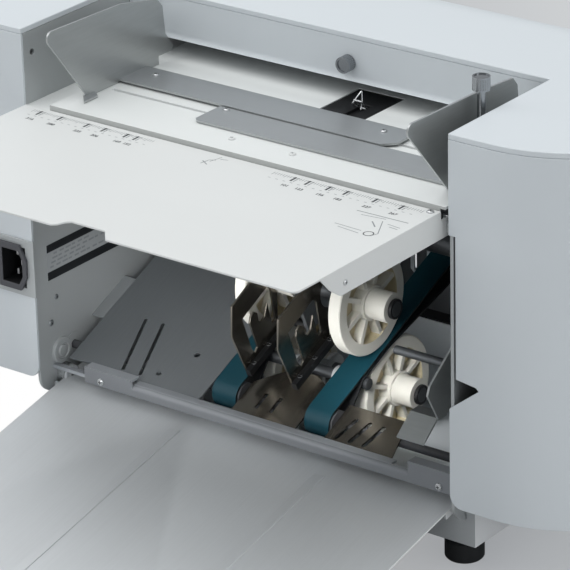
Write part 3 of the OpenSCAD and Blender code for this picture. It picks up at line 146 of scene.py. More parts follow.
FINISH = {
    "shell_white": finish_material("shell_white_coat", "D4DADE", 0.45, scale=1100, bump=0.18, marks=0.03,
                                   shade=0.02),
    "sheet_white": finish_material("tray_white_coat", "DCDEDD", 0.42, scale=1000, bump=0.12, marks=0.04,
                                   shade=0.02),
    "plate_grey": finish_material("plate_grey_paint", "B4B8B9", 0.45, metallic=0.25, scale=700, bump=0.12,
                                  marks=0.1),
    "guide_steel": finish_material("guide_brushed_steel", "B4B7B7", 0.36, metallic=0.8,
                                   stretch=(0.06, 0.06, 1), scale=900, shade=0.16, bump=0.1, marks=0.12),
    "dark_steel": finish_material("chute_dark_steel", "8C9093", 0.42, metallic=0.65, stretch=(1, 0.05, 0.05),
                                  scale=900, shade=0.16, bump=0.1, marks=0.16),
    "bright_steel": finish_material("bright_turned_steel", "CDCFD0", 0.28, metallic=0.95, scale=600,
                                    shade=0.05, bump=0.02, gloss_swing=0.06),
    "tray_steel": finish_material("delivery_brushed_steel", "D6D9DB", 0.42, metallic=0.3,
                                  stretch=(1, 0.03, 0.03), scale=700, shade=0.08, bump=0.06, marks=0.06),
    "cast_grey": finish_material("crossbar_blasted_aluminium", "B6BABF", 0.48, metallic=0.5, scale=1500,
                                 bump=0.2),
    "ivory_plastic": finish_material("ivory_moulding", "E6E4DB", 0.42, scale=900, bump=0.06, marks=0.05),
    "black_plastic": finish_material("black_moulding", "17181A", 0.5, scale=1400, bump=0.25),
    "bezel_plastic": finish_material("inlet_moulding", "4A4B50", 0.42, scale=1400, bump=0.2),
    "belt_green": finish_material("green_belt_cover", "0E3A45", 0.5, scale=1800, bump=0.3, marks=0.2,
                                  specular=0.3),
    "roller_rubber": finish_material("roller_cover", "4A4B4E", 0.6, scale=1500, bump=0.3,
                                     stretch=(1, 0.2, 0.2)),
    "foot_rubber": finish_material("foot_rubber_black", "14171A", 0.62, scale=1200, bump=0.3),
    "bronze": finish_material("sintered_bronze", "8F8878", 0.4, metallic=0.8, scale=1600, bump=0.2),
    "brass": finish_material("pin_brass", "BDB59A", 0.28, metallic=1.0, scale=800),
    "board_green": finish_material("board_laminate", "1E5A3A", 0.35, scale=600, coat=0.3),
    "motor_paint": finish_material("motor_enamel", "55585D", 0.45, metallic=0.2, scale=900),
}
# painted reflection: the brown in this polished steel's colour stands for the surroundings it reflects
FIN_STEEL_PAINTED_REFLECTION = finish_material("fin_polished_steel", "8C867D", 0.24, metallic=0.95, stretch=(1, 0.06, 1),
                            scale=500, shade=0.3, bump=0.03, marks=0.5)
POST_STEEL = finish_material("post_turned_steel", "9A9DA0", 0.2, metallic=1.0, scale=600, shade=0.05,
                             bump=0.0, gloss_swing=0.05)
HANGER_SHADE = finish_material("hanger_in_shade", "8B8F91", 0.5, scale=700, bump=0.12, marks=0.1)
# painted light: the base pan's right end faces get a near-white copy of its grey
PAN_END_PAINTED_LIGHT = finish_material("pan_end_face", "F6F7F8", 0.4, scale=900, bump=0.1, marks=0.04)
# painted light: the base pan's front faces get a lighter, less metallic copy of its grey
PAN_FRONT = finish_material("pan_front_face", "C4C8CA", 0.45, metallic=0.2, scale=700, bump=0.12,
                            marks=0.1)
# painted highlight: the delivery tray's right edge faces are near white
TRAY_EDGE_PAINTED_HIGHLIGHT = finish_material("tray_cut_edge", "FAFBFB", 0.35, scale=900, bump=0.05)
# painted shade: the shafts and rods inside the machine get a dark steel
SHAFT_STEEL_PAINTED_SHADE = finish_material("shaded_shaft_steel", "5E6164", 0.42, metallic=0.7, scale=600, bump=0.03)
# painted shade: a dark galvanised grey for the rear panel's inner faces
REAR_INSIDE_PAINTED_SHADE = finish_material("galvanised_inside", "5A5D60", 0.5, metallic=0.4, scale=300, bump=0.08,
                             marks=0.2)
# brushed along the bars on their top faces, with painted light: a lighter, glossier tone than the guides' steel
BAR_TOP_BRUSHED_AND_LIT = finish_material("guide_bar_top", "B6B9BB", 0.34, metallic=0.75, stretch=(0.06, 1, 1), scale=900,
                          shade=0.12, bump=0.06, marks=0.1)
# painted shade: the crossbar's rounded front faces are darker than its top
WEB_SHADE = finish_material("crossbar_web", "8A8D91", 0.5, metallic=0.5, scale=1500, bump=0.2)
# nodes whose finish isn't that of their slot, some of them with painted light, shade or reflection
OWN_FINISH = {
    # fins and plates with painted reflection in their colour
    "left_fin": FIN_STEEL_PAINTED_REFLECTION,
    "right_fin": FIN_STEEL_PAINTED_REFLECTION,
    "centre_chute_plate": FIN_STEEL_PAINTED_REFLECTION,
    "comb_plate": FIN_STEEL_PAINTED_REFLECTION,
    "guide_post": POST_STEEL,
    "guide_thumbscrew": POST_STEEL,
    "cover_knob": POST_STEEL,
    # shafts and rods with painted shade
    "wing_rod": SHAFT_STEEL_PAINTED_SHADE,
    "belt_snub": SHAFT_STEEL_PAINTED_SHADE,
    "wheel_shafts": SHAFT_STEEL_PAINTED_SHADE,
    "nip_crossbar": SHAFT_STEEL_PAINTED_SHADE,
    "shaft_bearings": FINISH["plate_grey"],
    "inlet_pins": FINISH["bright_steel"],
    "left_rack": FINISH["black_plastic"],
    "right_rack": FINISH["black_plastic"],
    # painted light: the deck gets a lighter copy of the white sheet paint
    "deck_plate": finish_material("deck_white_coat", "E2E5E4", 0.42, scale=1000, bump=0.12, marks=0.04,
                                  shade=0.02),
}
PRINT = finish_material("scale_print", "33383C", 0.6, scale=2000, bump=0.0, marks=0.0)
# faint print, which also serves as the painted shade in the white deck screws' cross
FAINT_PRINT_AND_SHADE = finish_material("faint_scale_print", "8E9294", 0.6, scale=2000, bump=0.0, marks=0.0)
# painted shade: the dark cross on the screw heads stands for the shade in their recess
SCREW_RECESS_PAINTED_SHADE = finish_material("screw_recess", "3C3D3F", 0.5, metallic=0.7, scale=900)
WHEEL_POCKET = finish_material("moulding_pocket", "CBBF9F", 0.55, scale=900, bump=0.1, marks=0.25)
BELT_FABRIC = finish_material("belt_fabric_edge", "0D1114", 0.6, scale=1600, bump=0.3)
PLATE_FACE = finish_material("bare_plate_face", "A4A8AA", 0.45, scale=900, bump=0.05)
PLATE_BAND = finish_material("bare_plate_band", "1C1F22", 0.45, scale=900, bump=0.05)


# ---------- meshes ----------
CREASE = 32
FAINT_EDGE = 0.0003


def put(obj, body, slot, *nodes):
    """Hands a piece to its body and hides the CAD nodes that it stands for; slot is not used."""
    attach(obj, body)
    if nodes:
        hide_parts(*nodes)
    return obj


def mesh_object(name, bm, *materials):
    mesh = bpy.data.meshes.new(name)
    bm.to_mesh(mesh)
    bm.free()
    obj = bpy.data.objects.new(name, mesh)
    bpy.context.scene.collection.objects.link(obj)
    for m in materials:
        mesh.materials.append(m)
    return obj


def shade_by_angle(obj, degrees=CREASE):
    for p in obj.data.polygons:
        p.use_smooth = True
    bm = bmesh.new()
    bm.from_mesh(obj.data)
    for e in bm.edges:
        e.smooth = len(e.link_faces) == 2 and e.calc_face_angle(math.pi) < math.radians(degrees)
    bm.to_mesh(obj.data)
    bm.free()


def soften(obj, width, segments=2, degrees=CREASE):
    """A small rounded edge, as a press brake, a mould or a file leaves."""
    bevel = obj.modifiers.new("edges", "BEVEL")
    bevel.width = width
    bevel.segments = segments
    bevel.limit_method = "ANGLE"
    bevel.angle_limit = math.radians(degrees)
    bevel.use_clamp_overlap = True
    bevel.harden_normals = True


def bake(obj):
    """Turns the evaluated object into a plain mesh and drops its modifiers."""
    graph = bpy.context.evaluated_depsgraph_get()
    mesh = bpy.data.meshes.new_from_object(obj.evaluated_get(graph))
    obj.modifiers.clear()
    obj.data = mesh
    return obj


def copy_of(node):
    """Merged copy of a CAD node's mesh with its flat faces joined."""
    bm = bmesh.new()
    bm.from_mesh(NODES[node].data)
    bmesh.ops.remove_doubles(bm, verts=bm.verts, dist=1e-6)
    bmesh.ops.dissolve_limit(bm, angle_limit=math.radians(0.6), verts=bm.verts, edges=bm.edges,
                             delimit={"NORMAL"})
    return bm


def finished(node, width):
    """The CAD node with its finish and edges softened by the width, which takes its place."""
    slot = SLOT_OF[node]
    obj = mesh_object("finished_" + node, copy_of(node), OWN_FINISH.get(node, FINISH[slot]))
    shade_by_angle(obj)
    if width:
        soften(obj, width)
    return put(obj, BODY_OF[node], slot, node)


# width of the softened edges in metres, where it isn't FAINT_EDGE
EDGE = {
    "top_cover": 0.0012, "left_housing": 0.0006, "right_housing": 0.0006, "base_pan": 0.0006, "feet": 0.0005,
    "feed_tray": 0.0005, "delivery_tray": 0.0004, "case_screws": 0.0, "inlet_pins": 0.0003,
    "motor_pinion": 0.0, "reduction_gear": 0.0, "guide_pinion": 0.0, "knife_shaft": 0.0,
    "front_fold_roller": 0.0, "rear_fold_roller": 0.0, "left_rack": 0.0, "right_rack": 0.0,
    "fold_knife": 0.0, "feeler_wire": 0.0, "guide_thumbscrew": 0.0, "cover_knob": 0.0,
    "upper_wheels": 0.0005, "lower_wheels": 0.0005,
}
REPLACED = {"case_screws"}
DRESSED = {node: finished(node, EDGE.get(node, FAINT_EDGE)) for node in NODES if node not in REPLACED}

# y of the housings' front faces; slope of the belts; y and z of a point of their upper face
FRONT_Y = -0.02985687
SLOPE = math.radians(23.3)
BELT_AIM = (0.060, 0.0848)


def at(x, y, z):
    """Place given in millimetres: across, behind the housing fronts, above the table."""
    return Vector((x * MM, y * MM + FRONT_Y, z * MM))


def belt_top(y):
    """Height of the belts' upper face, with y behind the housing fronts, in metres."""
    return BELT_AIM[1] + (y - BELT_AIM[0]) * math.tan(SLOPE)


def repaint(obj, material, test):
    """Gives the material to the faces whose centre and normal pass the test."""
    obj.data.materials.append(material)
    slot = len(obj.data.materials) - 1
    for face in obj.data.polygons:
        if test(face.center, face.normal):
            face.material_index = slot


# ---------- belts: green cover, black fabric on the inside and the cut edges ----------
BELT_RUNS = (0.041, 0.186)
BELT_MIDDLE = 0.0024


def belt_inside(centre, normal):
    """True on the cut edges, and on the sides of the two runs that face each other."""
    y = centre.y - FRONT_Y
    if abs(normal.x) > 0.7:
        return True
    if y < BELT_RUNS[0] or y > BELT_RUNS[1]:
        return False
    upper = centre.z > belt_top(y) - BELT_MIDDLE
    return normal.z < 0 if upper else normal.z > 0


repaint(DRESSED["belts"], BELT_FABRIC, belt_inside)


# ---------- wheels: darker web and pocket walls behind the ribs ----------
WHEEL_X = [-0.0327, 0.0438]
RIB_TOPS = [x + 0.0086 for x in WHEEL_X]
HUB_OUT, WEB_OUT, RIM_IN = 0.0122, 0.0279, 0.0284
WHEEL_AXES = {"upper_wheels": (80.3, 133.719), "lower_wheels": (108.7, 60.806)}


def on_rib(centre):
    offsets = [abs(centre.x - x) for x in RIB_TOPS]
    return min(offsets) < 0.0012


def wheel_pocket_test(axis_y, axis_z):
    """Test for the web between the ribs and the rim's inner wall, round the axis."""
    def test(centre, normal):
        across = math.hypot(centre.y - axis_y, centre.z - axis_z)
        if not HUB_OUT < across < RIM_IN:
            return False
        outward = (normal.y * (centre.y - axis_y) + normal.z * (centre.z - axis_z)) / max(across, 1e-6)
        return normal.x > 0.9 and across < WEB_OUT and not on_rib(centre) or outward < -0.8
    return test


for name, (y, z) in WHEEL_AXES.items():
    axis = at(0, y, z)
    repaint(DRESSED[name], WHEEL_POCKET, wheel_pocket_test(axis.y, axis.z))


# ---------- inside faces and edges: painted light and shade, and the inlet's darker hollow ---
def middle_of(node):
    corners = [v.co for v in NODES[node].data.vertices]
    return Vector([(min(c[i] for c in corners) + max(c[i] for c in corners)) / 2 for i in range(3)])


INLET = middle_of("power_inlet")


def inlet_hollow(centre, normal):
    inward = normal.x * (INLET.x - centre.x) + normal.z * (INLET.z - centre.z)
    return abs(normal.y) < 0.3 and inward > 0 or normal.y < -0.8 and centre.y > INLET.y


WALL_X = -0.1601
PAN_FRONT_Y = FRONT_Y + 0.02
WEB_MID, WEB_HALF = 0.018, 0.112
repaint(DRESSED["power_inlet"], FINISH["black_plastic"], inlet_hollow)
# painted shade: the rear panel's inner faces are dark
repaint(DRESSED["rear_panel"], REAR_INSIDE_PAINTED_SHADE, lambda centre, normal: normal.y < -0.7)
repaint(DRESSED["left_chute_plate"], HANGER_SHADE, lambda centre, normal: centre.x < WALL_X)
# painted light: the base pan's right end faces are near white
repaint(DRESSED["base_pan"], PAN_END_PAINTED_LIGHT, lambda centre, normal: normal.x > 0.8 and centre.x > 0.17)
# painted light: the base pan's front faces are lighter than the rest of the pan
repaint(DRESSED["base_pan"], PAN_FRONT, lambda centre, normal: normal.y < -0.8 and centre.y < PAN_FRONT_Y)
# painted highlight: near white on the delivery tray's right edge
repaint(DRESSED["delivery_tray"], TRAY_EDGE_PAINTED_HIGHLIGHT, lambda centre, normal: normal.x > 0.8 and centre.x > 0.15)
# painted shade on the crossbar's front faces
repaint(DRESSED["crossbar"], WEB_SHADE,
        lambda centre, normal: normal.y < -0.35 and abs(centre.x - WEB_MID) < WEB_HALF)
# painted light on the guide bars' top faces, which are also brushed along their length
for name in ("left_guide", "right_guide"):
    repaint(DRESSED[name], BAR_TOP_BRUSHED_AND_LIT, lambda centre, normal: normal.z > 0.9)

# painted shade: the deck's front edge is darker than its top
DECK_FRONT_Y = FRONT_Y + 0.001
SHADED_EDGE = finish_material("shaded_white_edge", "B9BBB9", 0.5, scale=1000, bump=0.12, marks=0.04)
repaint(DRESSED["deck_plate"], SHADED_EDGE,
        lambda centre, normal: normal.y < -0.8 and centre.y < DECK_FRONT_Y)


# ---------- printed scale on the feed tray ----------
# all in millimetres on the tray; a row has its numbered marks, its first mark and its last
TRAY_TOP = 252.0
PRINT_LIFT = 0.04
SCALE_MID = 8.0
SCALE_Y = -8.6
SCALE_STEP = 1.9
NUMBER_DROP, NUMBER_HEIGHT = 12.5, 4.0
SCALE_ROWS = [([-149.8, -132.0, -109.4, -95.0, -76.4, -68.2], -156.0, -54.0),
              ([58.5, 69.7, 85.8, 99.3, 121.4, 141.4], 42.0, 157.0)]
# centre mark and folding diagram: ends of each line and its width, and the diagram's roller
PICTOGRAMS = [
    ((-8.5, -15), (-2, -19), 0.7), ((-6.7, -19.4), (-5.5, -13), 0.7), ((-6, -12.5), (-1.5, -10), 0.6),
    ((-3.6, -14), (-1.2, -4.2), 0.6), ((0, -7.5), (5, -6.0), 0.6),
    ((121.8, -51.1), (142.2, -52.0), 0.6), ((126.3, -54.3), (143.1, -56.1), 0.6),
    ((153.6, -50.6), (144.7, -33.0), 0.6), ((151.4, -56.0), (153.6, -50.6), 0.6),
    ((121.3, -27.5), (159.4, -26.9), 0.8), ((127.4, -31.5), (144.6, -29.4), 0.6),
    ((149.6, -35.0), (159.7, -36.1), 0.6), ((152.9, -38.1), (159.6, -38.8), 0.6),
    ((139.4, -36.6), (145.9, -42.8), 0.9),
]
RING_X, RING_Y, RING_R = 148.7, -53.4, 3.2


def stroke(bm, a, b, width, z, index=0):
    """Thin flat line from a to b, in millimetres on the tray."""
    along = (Vector(b) - Vector(a)).normalized()
    side = Vector((-along.y, along.x)) * width / 2
    corners = [Vector(a) - side, Vector(b) - side, Vector(b) + side, Vector(a) + side]
    face = bm.faces.new([bm.verts.new(at(c.x, c.y, z)) for c in corners])
    face.normal_update()
    if face.normal.z < 0:
        face.normal_flip()
    face.material_index = index


def number(text, x, y, z, height):
    """Flat mesh of a plain number, in millimetres on the tray."""
    curve = bpy.data.curves.new("number_" + text, "FONT")
    curve.body = text
    curve.size = height * MM
    curve.offset = 0.0001
    curve.align_x = "CENTER"
    obj = bpy.data.objects.new("number_" + text, curve)
    bpy.context.scene.collection.objects.link(obj)
    bpy.context.view_layer.update()
    mesh = bpy.data.meshes.new_from_object(obj.evaluated_get(bpy.context.evaluated_depsgraph_get()))
    mesh.transform(Matrix.Translation(at(x, y, z)))
    bpy.data.objects.remove(obj)
    bpy.data.curves.remove(curve)
    return mesh


def tray_scale():
    """Scale with its numbers, the centre mark and the folding diagram, printed just over the tray."""
    z = TRAY_TOP + PRINT_LIFT
    bm = bmesh.new()
    y = SCALE_Y
    for majors, first, last in SCALE_ROWS:
        for x in majors:
            stroke(bm, (x, y - 3.4), (x, y + 3.4), 1.5, z)
            stroke(bm, (x + 2.4, y - 3.4), (x + 2.4, y + 1.0), 0.7, z, 1)
            stroke(bm, (x - 2.2, y + 2.6), (x + 3.4, y + 2.6), 0.7, z, 1)
            mesh = number(str(round(2 * abs(x - SCALE_MID))), x + 1.5, y - NUMBER_DROP, z, NUMBER_HEIGHT)
            bm.from_mesh(mesh)
            bpy.data.meshes.remove(mesh)
        for k in range(int((last - first) / SCALE_STEP) + 1):
            x = first + k * SCALE_STEP
            if min(abs(x - m) for m in majors) > 1.6:
                top = 1.4 if k % 5 == 0 else 2.6
                stroke(bm, (x, y + top - 2.2), (x, y + 3.4), 0.45, z, 1)
            if k % 3 == 1:
                stroke(bm, (x - 1.0, y - 5.6), (x + 1.0, y - 5.6), 0.5, z, 1)
    for a, b, width in PICTOGRAMS:
        stroke(bm, a, b, width, z, 1)
    ring = [(RING_X + RING_R * math.cos(math.pi * k / 8), RING_Y + RING_R * math.sin(math.pi * k / 8))
            for k in range(17)]
    for a, b in zip(ring, ring[1:]):
        stroke(bm, a, b, 0.7, z)
    obj = mesh_object("tray_scale", bm, PRINT, FAINT_PRINT_AND_SHADE)
    put(obj, "chassis", "sheet_white")


tray_scale()


# ---------- bare rating plate and boss on the left wall, strip behind the base pan ----------
WALL = -170.0
PLATE_Y, PLATE_Z = (14, 92), (118.5, 144.5)
BAND_TOP, BAND_FOOT = (138.9, 144.5), (118.5, 124.6)
BOSS_Y, BOSS_Z, BOSS_SIDES = 24, 64, 32
# radius and height over the wall of the boss's turned profile
BOSS_PROFILE = [(9.5, 0.0), (9.5, 1.6), (8.8, 2.2), (6.4, 2.2), (5.9, 1.4), (4.3, 1.4), (3.8, 2.6),
                (1.0, 3.0)]
STRIP = ((-169.0, 169.0), (230.3, 242.7), (51.0, 52.2))


def slab(bm, x, y, z, index=0):
    """Box between pairs of x, y and z in millimetres."""
    made = bmesh.ops.create_cube(bm, size=1.0)["verts"]
    a, b = at(x[0], y[0], z[0]), at(x[1], y[1], z[1])
    for v in made:
        v.co = Vector([(a[i] + b[i]) / 2 + v.co[i] * (b[i] - a[i]) for i in range(3)])
    for face in {f for v in made for f in v.link_faces}:
        face.material_index = index


def rating_plate():
    """Plate with two plain bars and rows of blank dashes, with no words."""
    bm = bmesh.new()
    face, print_face = (WALL - 0.02, WALL + 0.3), (WALL + 0.28, WALL + 0.36)
    slab(bm, face, PLATE_Y, PLATE_Z)
    slab(bm, print_face, PLATE_Y, BAND_TOP, 1)
    slab(bm, print_face, PLATE_Y, BAND_FOOT, 1)
    for row in range(4):
        for k in range(9 - row % 2 * 3):
            y = 17 + k * 6.4 + row * 1.3
            slab(bm, print_face, (y, y + 3.4 + (k + row) % 3), (127 + row * 3, 128.3 + row * 3), 2)
    put(mesh_object("bare_rating_plate", bm, PLATE_FACE, PLATE_BAND, FAINT_PRINT_AND_SHADE), "chassis", "plate_grey")


def wall_boss():
    """Turned boss low on the left wall, by the delivery tray's pivot."""
    bm = bmesh.new()
    turns = [math.tau * k / BOSS_SIDES for k in range(BOSS_SIDES)]
    rings = [[bm.verts.new(at(WALL - 0.05 + h, BOSS_Y + r * math.cos(t), BOSS_Z + r * math.sin(t)))
              for t in turns] for r, h in BOSS_PROFILE]
    for ring, following in zip(rings, rings[1:]):
        for k in range(BOSS_SIDES):
            m = (k + 1) % BOSS_SIDES
            bm.faces.new((ring[k], ring[m], following[m], following[k]))
    bm.faces.new(rings[-1])
    bm.faces.new(list(reversed(rings[0])))
    bmesh.ops.recalc_face_normals(bm, faces=bm.faces)
    obj = mesh_object("wall_boss", bm, FINISH["plate_grey"])
    shade_by_angle(obj, 30)
    put(obj, "chassis", "plate_grey")


def dust_seal():
    """Dark strip on the base pan's rear rim, which closes the slit below the rear panel: a dark sheet put there
    as painted shade.
    """
    bm = bmesh.new()
    slab(bm, *STRIP)
    obj = mesh_object("dust_seal", bm, FINISH["foot_rubber"])
    put(obj, "chassis", "foot_rubber")


wall_boss()
dust_seal()
rating_plate()


# ---------- bent wire of the paper feeler ----------
def tube(name, path, radius, material, sides=12):
    """Round closed wire through the points of a path."""
    curve = bpy.data.curves.new(name, "CURVE")
    curve.dimensions = "3D"
    spline = curve.splines.new("POLY")
    spline.points.add(len(path) - 1)
    for point, place in zip(spline.points, path):
        point.co = (*place, 1.0)
    curve.bevel_depth = radius
    curve.bevel_resolution = sides // 4
    curve.use_fill_caps = True
    obj = bpy.data.objects.new(name, curve)
    bpy.context.scene.collection.objects.link(obj)
    bpy.context.view_layer.update()
    mesh = bpy.data.meshes.new_from_object(obj.evaluated_get(bpy.context.evaluated_depsgraph_get()))
    bpy.data.objects.remove(obj)
    bpy.data.curves.remove(curve)
    bm = bmesh.new()
    bm.from_mesh(mesh)
    bpy.data.meshes.remove(mesh)
    bmesh.ops.remove_doubles(bm, verts=bm.verts, dist=1e-7)
    bmesh.ops.recalc_face_normals(bm, faces=bm.faces)
    made = mesh_object(name, bm, material)
    shade_by_angle(made, 50)
    return made


def rounded_path(points, radius, steps=5):
    """The given corners with short arcs laid into the inner ones."""
    out = [points[0]]
    for a, b, c in zip(points, points[1:], points[2:]):
        back, ahead = (a - b).normalized() * radius, (c - b).normalized() * radius
        for k in range(steps + 1):
            t = k / steps
            out.append(b + back * (1 - t) ** 2 + ahead * t ** 2)
    out.append(points[-1])
    return out


FEELER = [at(29.2, 112, 253.8), at(22.8, 112, 253.8), at(22.6, 103.5, 259.5), at(25.5, 110.5, 266.8),
          at(27.6, 108.0, 259.0), at(29.0, 104.0, 256.2)]
WIRE_BEND, WIRE_R = 0.0011, 0.00045
wire = tube("bent_feeler_wire", rounded_path(FEELER, WIRE_BEND), WIRE_R, FINISH["bright_steel"])
put(wire, "feeler_body", "bright_steel")


# ---------- screws: one head, set out by a geometry node tree ----------
def screw_head_object():
    """Unit screw head, radius 1 and height 0.55, with a cross of its own layer on its dome: a thin bar, not a
    hole, whose dark material is painted shade.
    """
    bm = bmesh.new()
    profile = [(1.0, 0.0), (1.0, 0.16), (0.9, 0.34), (0.68, 0.48), (0.36, 0.54)]
    sides = 20
    rings = [[bm.verts.new((r * math.cos(math.tau * k / sides), r * math.sin(math.tau * k / sides), z))
              for k in range(sides)] for r, z in profile]
    for low_ring, high_ring in zip(rings, rings[1:]):
        for k in range(sides):
            m = (k + 1) % sides
            bm.faces.new((low_ring[k], low_ring[m], high_ring[m], high_ring[k]))
    bm.faces.new(rings[-1])
    bm.faces.new(list(reversed(rings[0])))
    marks = bm.faces.layers.bool.new("recess")
    for w, d in ((0.11, 0.5), (0.5, 0.11)):
        cross = bmesh.ops.create_cube(bm, size=1.0)["verts"]
        for v in cross:
            v.co = Vector((v.co.x * 2 * w, v.co.y * 2 * d, 0.5 + v.co.z * 0.1))
        for face in {f for v in cross for f in v.link_faces}:
            face[marks] = True
    obj = mesh_object("screw_head", bm)
    for face in obj.data.polygons:
        face.use_smooth = False
    return obj


MOST_SPIN = 1.57


def screw_tree():
    """Sets a head on every vertex, turned along its aim, sized by its radius, with a seeded spin."""
    tree = bpy.data.node_groups.new("screw_pattern", "GeometryNodeTree")
    tree.interface.new_socket("Geometry", in_out="INPUT", socket_type="NodeSocketGeometry")
    for label, kind in (("Head", "NodeSocketObject"), ("Steel", "NodeSocketMaterial"),
                        ("Recess", "NodeSocketMaterial"), ("Seed", "NodeSocketInt")):
        tree.interface.new_socket(label, in_out="INPUT", socket_type=kind)
    tree.interface.new_socket("Geometry", in_out="OUTPUT", socket_type="NodeSocketGeometry")
    add, join = tree.nodes.new, tree.links.new
    given, out = add("NodeGroupInput"), add("NodeGroupOutput")
    head = add("GeometryNodeObjectInfo")
    join(given.outputs["Head"], head.inputs["Object"])
    aim = add("GeometryNodeInputNamedAttribute")
    aim.data_type = "FLOAT_VECTOR"
    aim.inputs["Name"].default_value = "aim"
    size = add("GeometryNodeInputNamedAttribute")
    size.data_type = "FLOAT"
    size.inputs["Name"].default_value = "radius"
    turn = add("FunctionNodeAlignRotationToVector")
    turn.axis = "Z"
    join(aim.outputs[0], turn.inputs["Vector"])
    chance = add("FunctionNodeRandomValue")
    chance.data_type = "FLOAT"
    spin = add("FunctionNodeAxisAngleToRotation")
    spin.inputs["Axis"].default_value = (0, 0, 1)
    for socket in chance.inputs:
        if socket.name == "Max" and socket.type == "VALUE":
            socket.default_value = MOST_SPIN
    join(given.outputs["Seed"], chance.inputs["Seed"])
    join([s for s in chance.outputs if s.type == "VALUE"][0], spin.inputs["Angle"])
    both = add("FunctionNodeRotateRotation")
    both.rotation_space = "LOCAL"
    join(turn.outputs[0], both.inputs[0])
    join(spin.outputs[0], both.inputs[1])
    spread = add("GeometryNodeInstanceOnPoints")
    join(given.outputs["Geometry"], spread.inputs["Points"])
    join(head.outputs["Geometry"], spread.inputs["Instance"])
    join(both.outputs[0], spread.inputs["Rotation"])
    join(size.outputs[0], spread.inputs["Scale"])
    real = add("GeometryNodeRealizeInstances")
    join(spread.outputs[0], real.inputs[0])
    steel = add("GeometryNodeSetMaterial")
    join(real.outputs[0], steel.inputs["Geometry"])
    join(given.outputs["Steel"], steel.inputs["Material"])
    # painted shade: the cross gets the recess material
    recess = add("GeometryNodeInputNamedAttribute")
    recess.data_type = "BOOLEAN"
    recess.inputs["Name"].default_value = "recess"
    dark = add("GeometryNodeSetMaterial")
    join(steel.outputs[0], dark.inputs["Geometry"])
    join(recess.outputs[0], dark.inputs["Selection"])
    join(given.outputs["Recess"], dark.inputs["Material"])
    join(dark.outputs[0], out.inputs[0])
    return tree


def set_inputs(modifier, tree, **values):
    """Sets a modifier's inputs by the names that they have in its tree."""
    for item in tree.interface.items_tree:
        key = item.name.replace(" ", "_")
        if item.in_out == "INPUT" and key in values:
            modifier[item.identifier] = values[key]


HEAD = screw_head_object()
SCREWS = screw_tree()
SCREW_SEED = 7


def screws(name, body, slot, places, *nodes):
    """Screws of one body: (foot of the head, direction, radius in millimetres)."""
    bm = bmesh.new()
    aim = bm.verts.layers.float_vector.new("aim")
    radius = bm.verts.layers.float.new("radius")
    for foot, direction, r in places:
        v = bm.verts.new(foot)
        v[aim] = Vector(direction).normalized()
        v[radius] = r * MM
    obj = mesh_object(name, bm)
    modifier = obj.modifiers.new("screw_pattern", "NODES")
    modifier.node_group = SCREWS
    # the recess material is painted shade, fainter on the white deck screws
    set_inputs(modifier, SCREWS, Head=HEAD, Steel=FINISH[slot],
               Recess=FAINT_PRINT_AND_SHADE if slot == "sheet_white" else SCREW_RECESS_PAINTED_SHADE, Seed=SCREW_SEED)
    bake(obj)
    return put(obj, body, slot, *nodes)


TRAY_RIGHT = 165.3
RAIL_FRONT = 38.5
OFF_BELT = (0, -math.sin(SLOPE), math.cos(SLOPE))


def rail_point(x, s, up=9.0):
    """Point above the belts' upper face, s millimetres along it from the rails' front."""
    y = RAIL_FRONT + s * math.cos(SLOPE) - up * math.sin(SLOPE)
    z = belt_top(RAIL_FRONT * MM) / MM + s * math.sin(SLOPE) + up * math.cos(SLOPE)
    return at(x, y, z)


screws("case_screw_heads", "chassis", "bright_steel", [
    (at(TRAY_RIGHT, -100.3, 241.0), (1, 0, 0), 1.9),
    (at(TRAY_RIGHT - 5, -5, 252.0), (0, 0, 1), 2.5),
    (at(-122, 8, 58.0), (0, -1, 0), 2.5), (at(156, 8, 58.0), (0, -1, 0), 2.5),
], "case_screws")
screws("wall_screw_heads", "chassis", "dark_steel", [
    (at(-170, 21.6, 104.3), (1, 0, 0), 2.0), (at(-170, 15, 87.1), (1, 0, 0), 2.3)])
screws("deck_screw_heads", "chassis", "sheet_white", [
    (at(x, 17.7, 255.3), (0, 0, 1), 2.4) for x in (-10.4, 38.1)])
screws("rail_screw_heads", "chassis", "bright_steel", [
    (rail_point(x, s), OFF_BELT, 1.75) for x in (-16.5, 21.5) for s in (8, 26, 44)])
screws("left_guide_screw_heads", "left_guide_body", "bright_steel", [
    (at(x, 76.3, 258.3), (0, 0, 1), 2.3) for x in (-119.8, 67.3)])
screws("right_guide_screw_heads", "right_guide_body", "bright_steel", [
    (at(-42, 52.8, 257.3), (0, 0, 1), 2.3)])


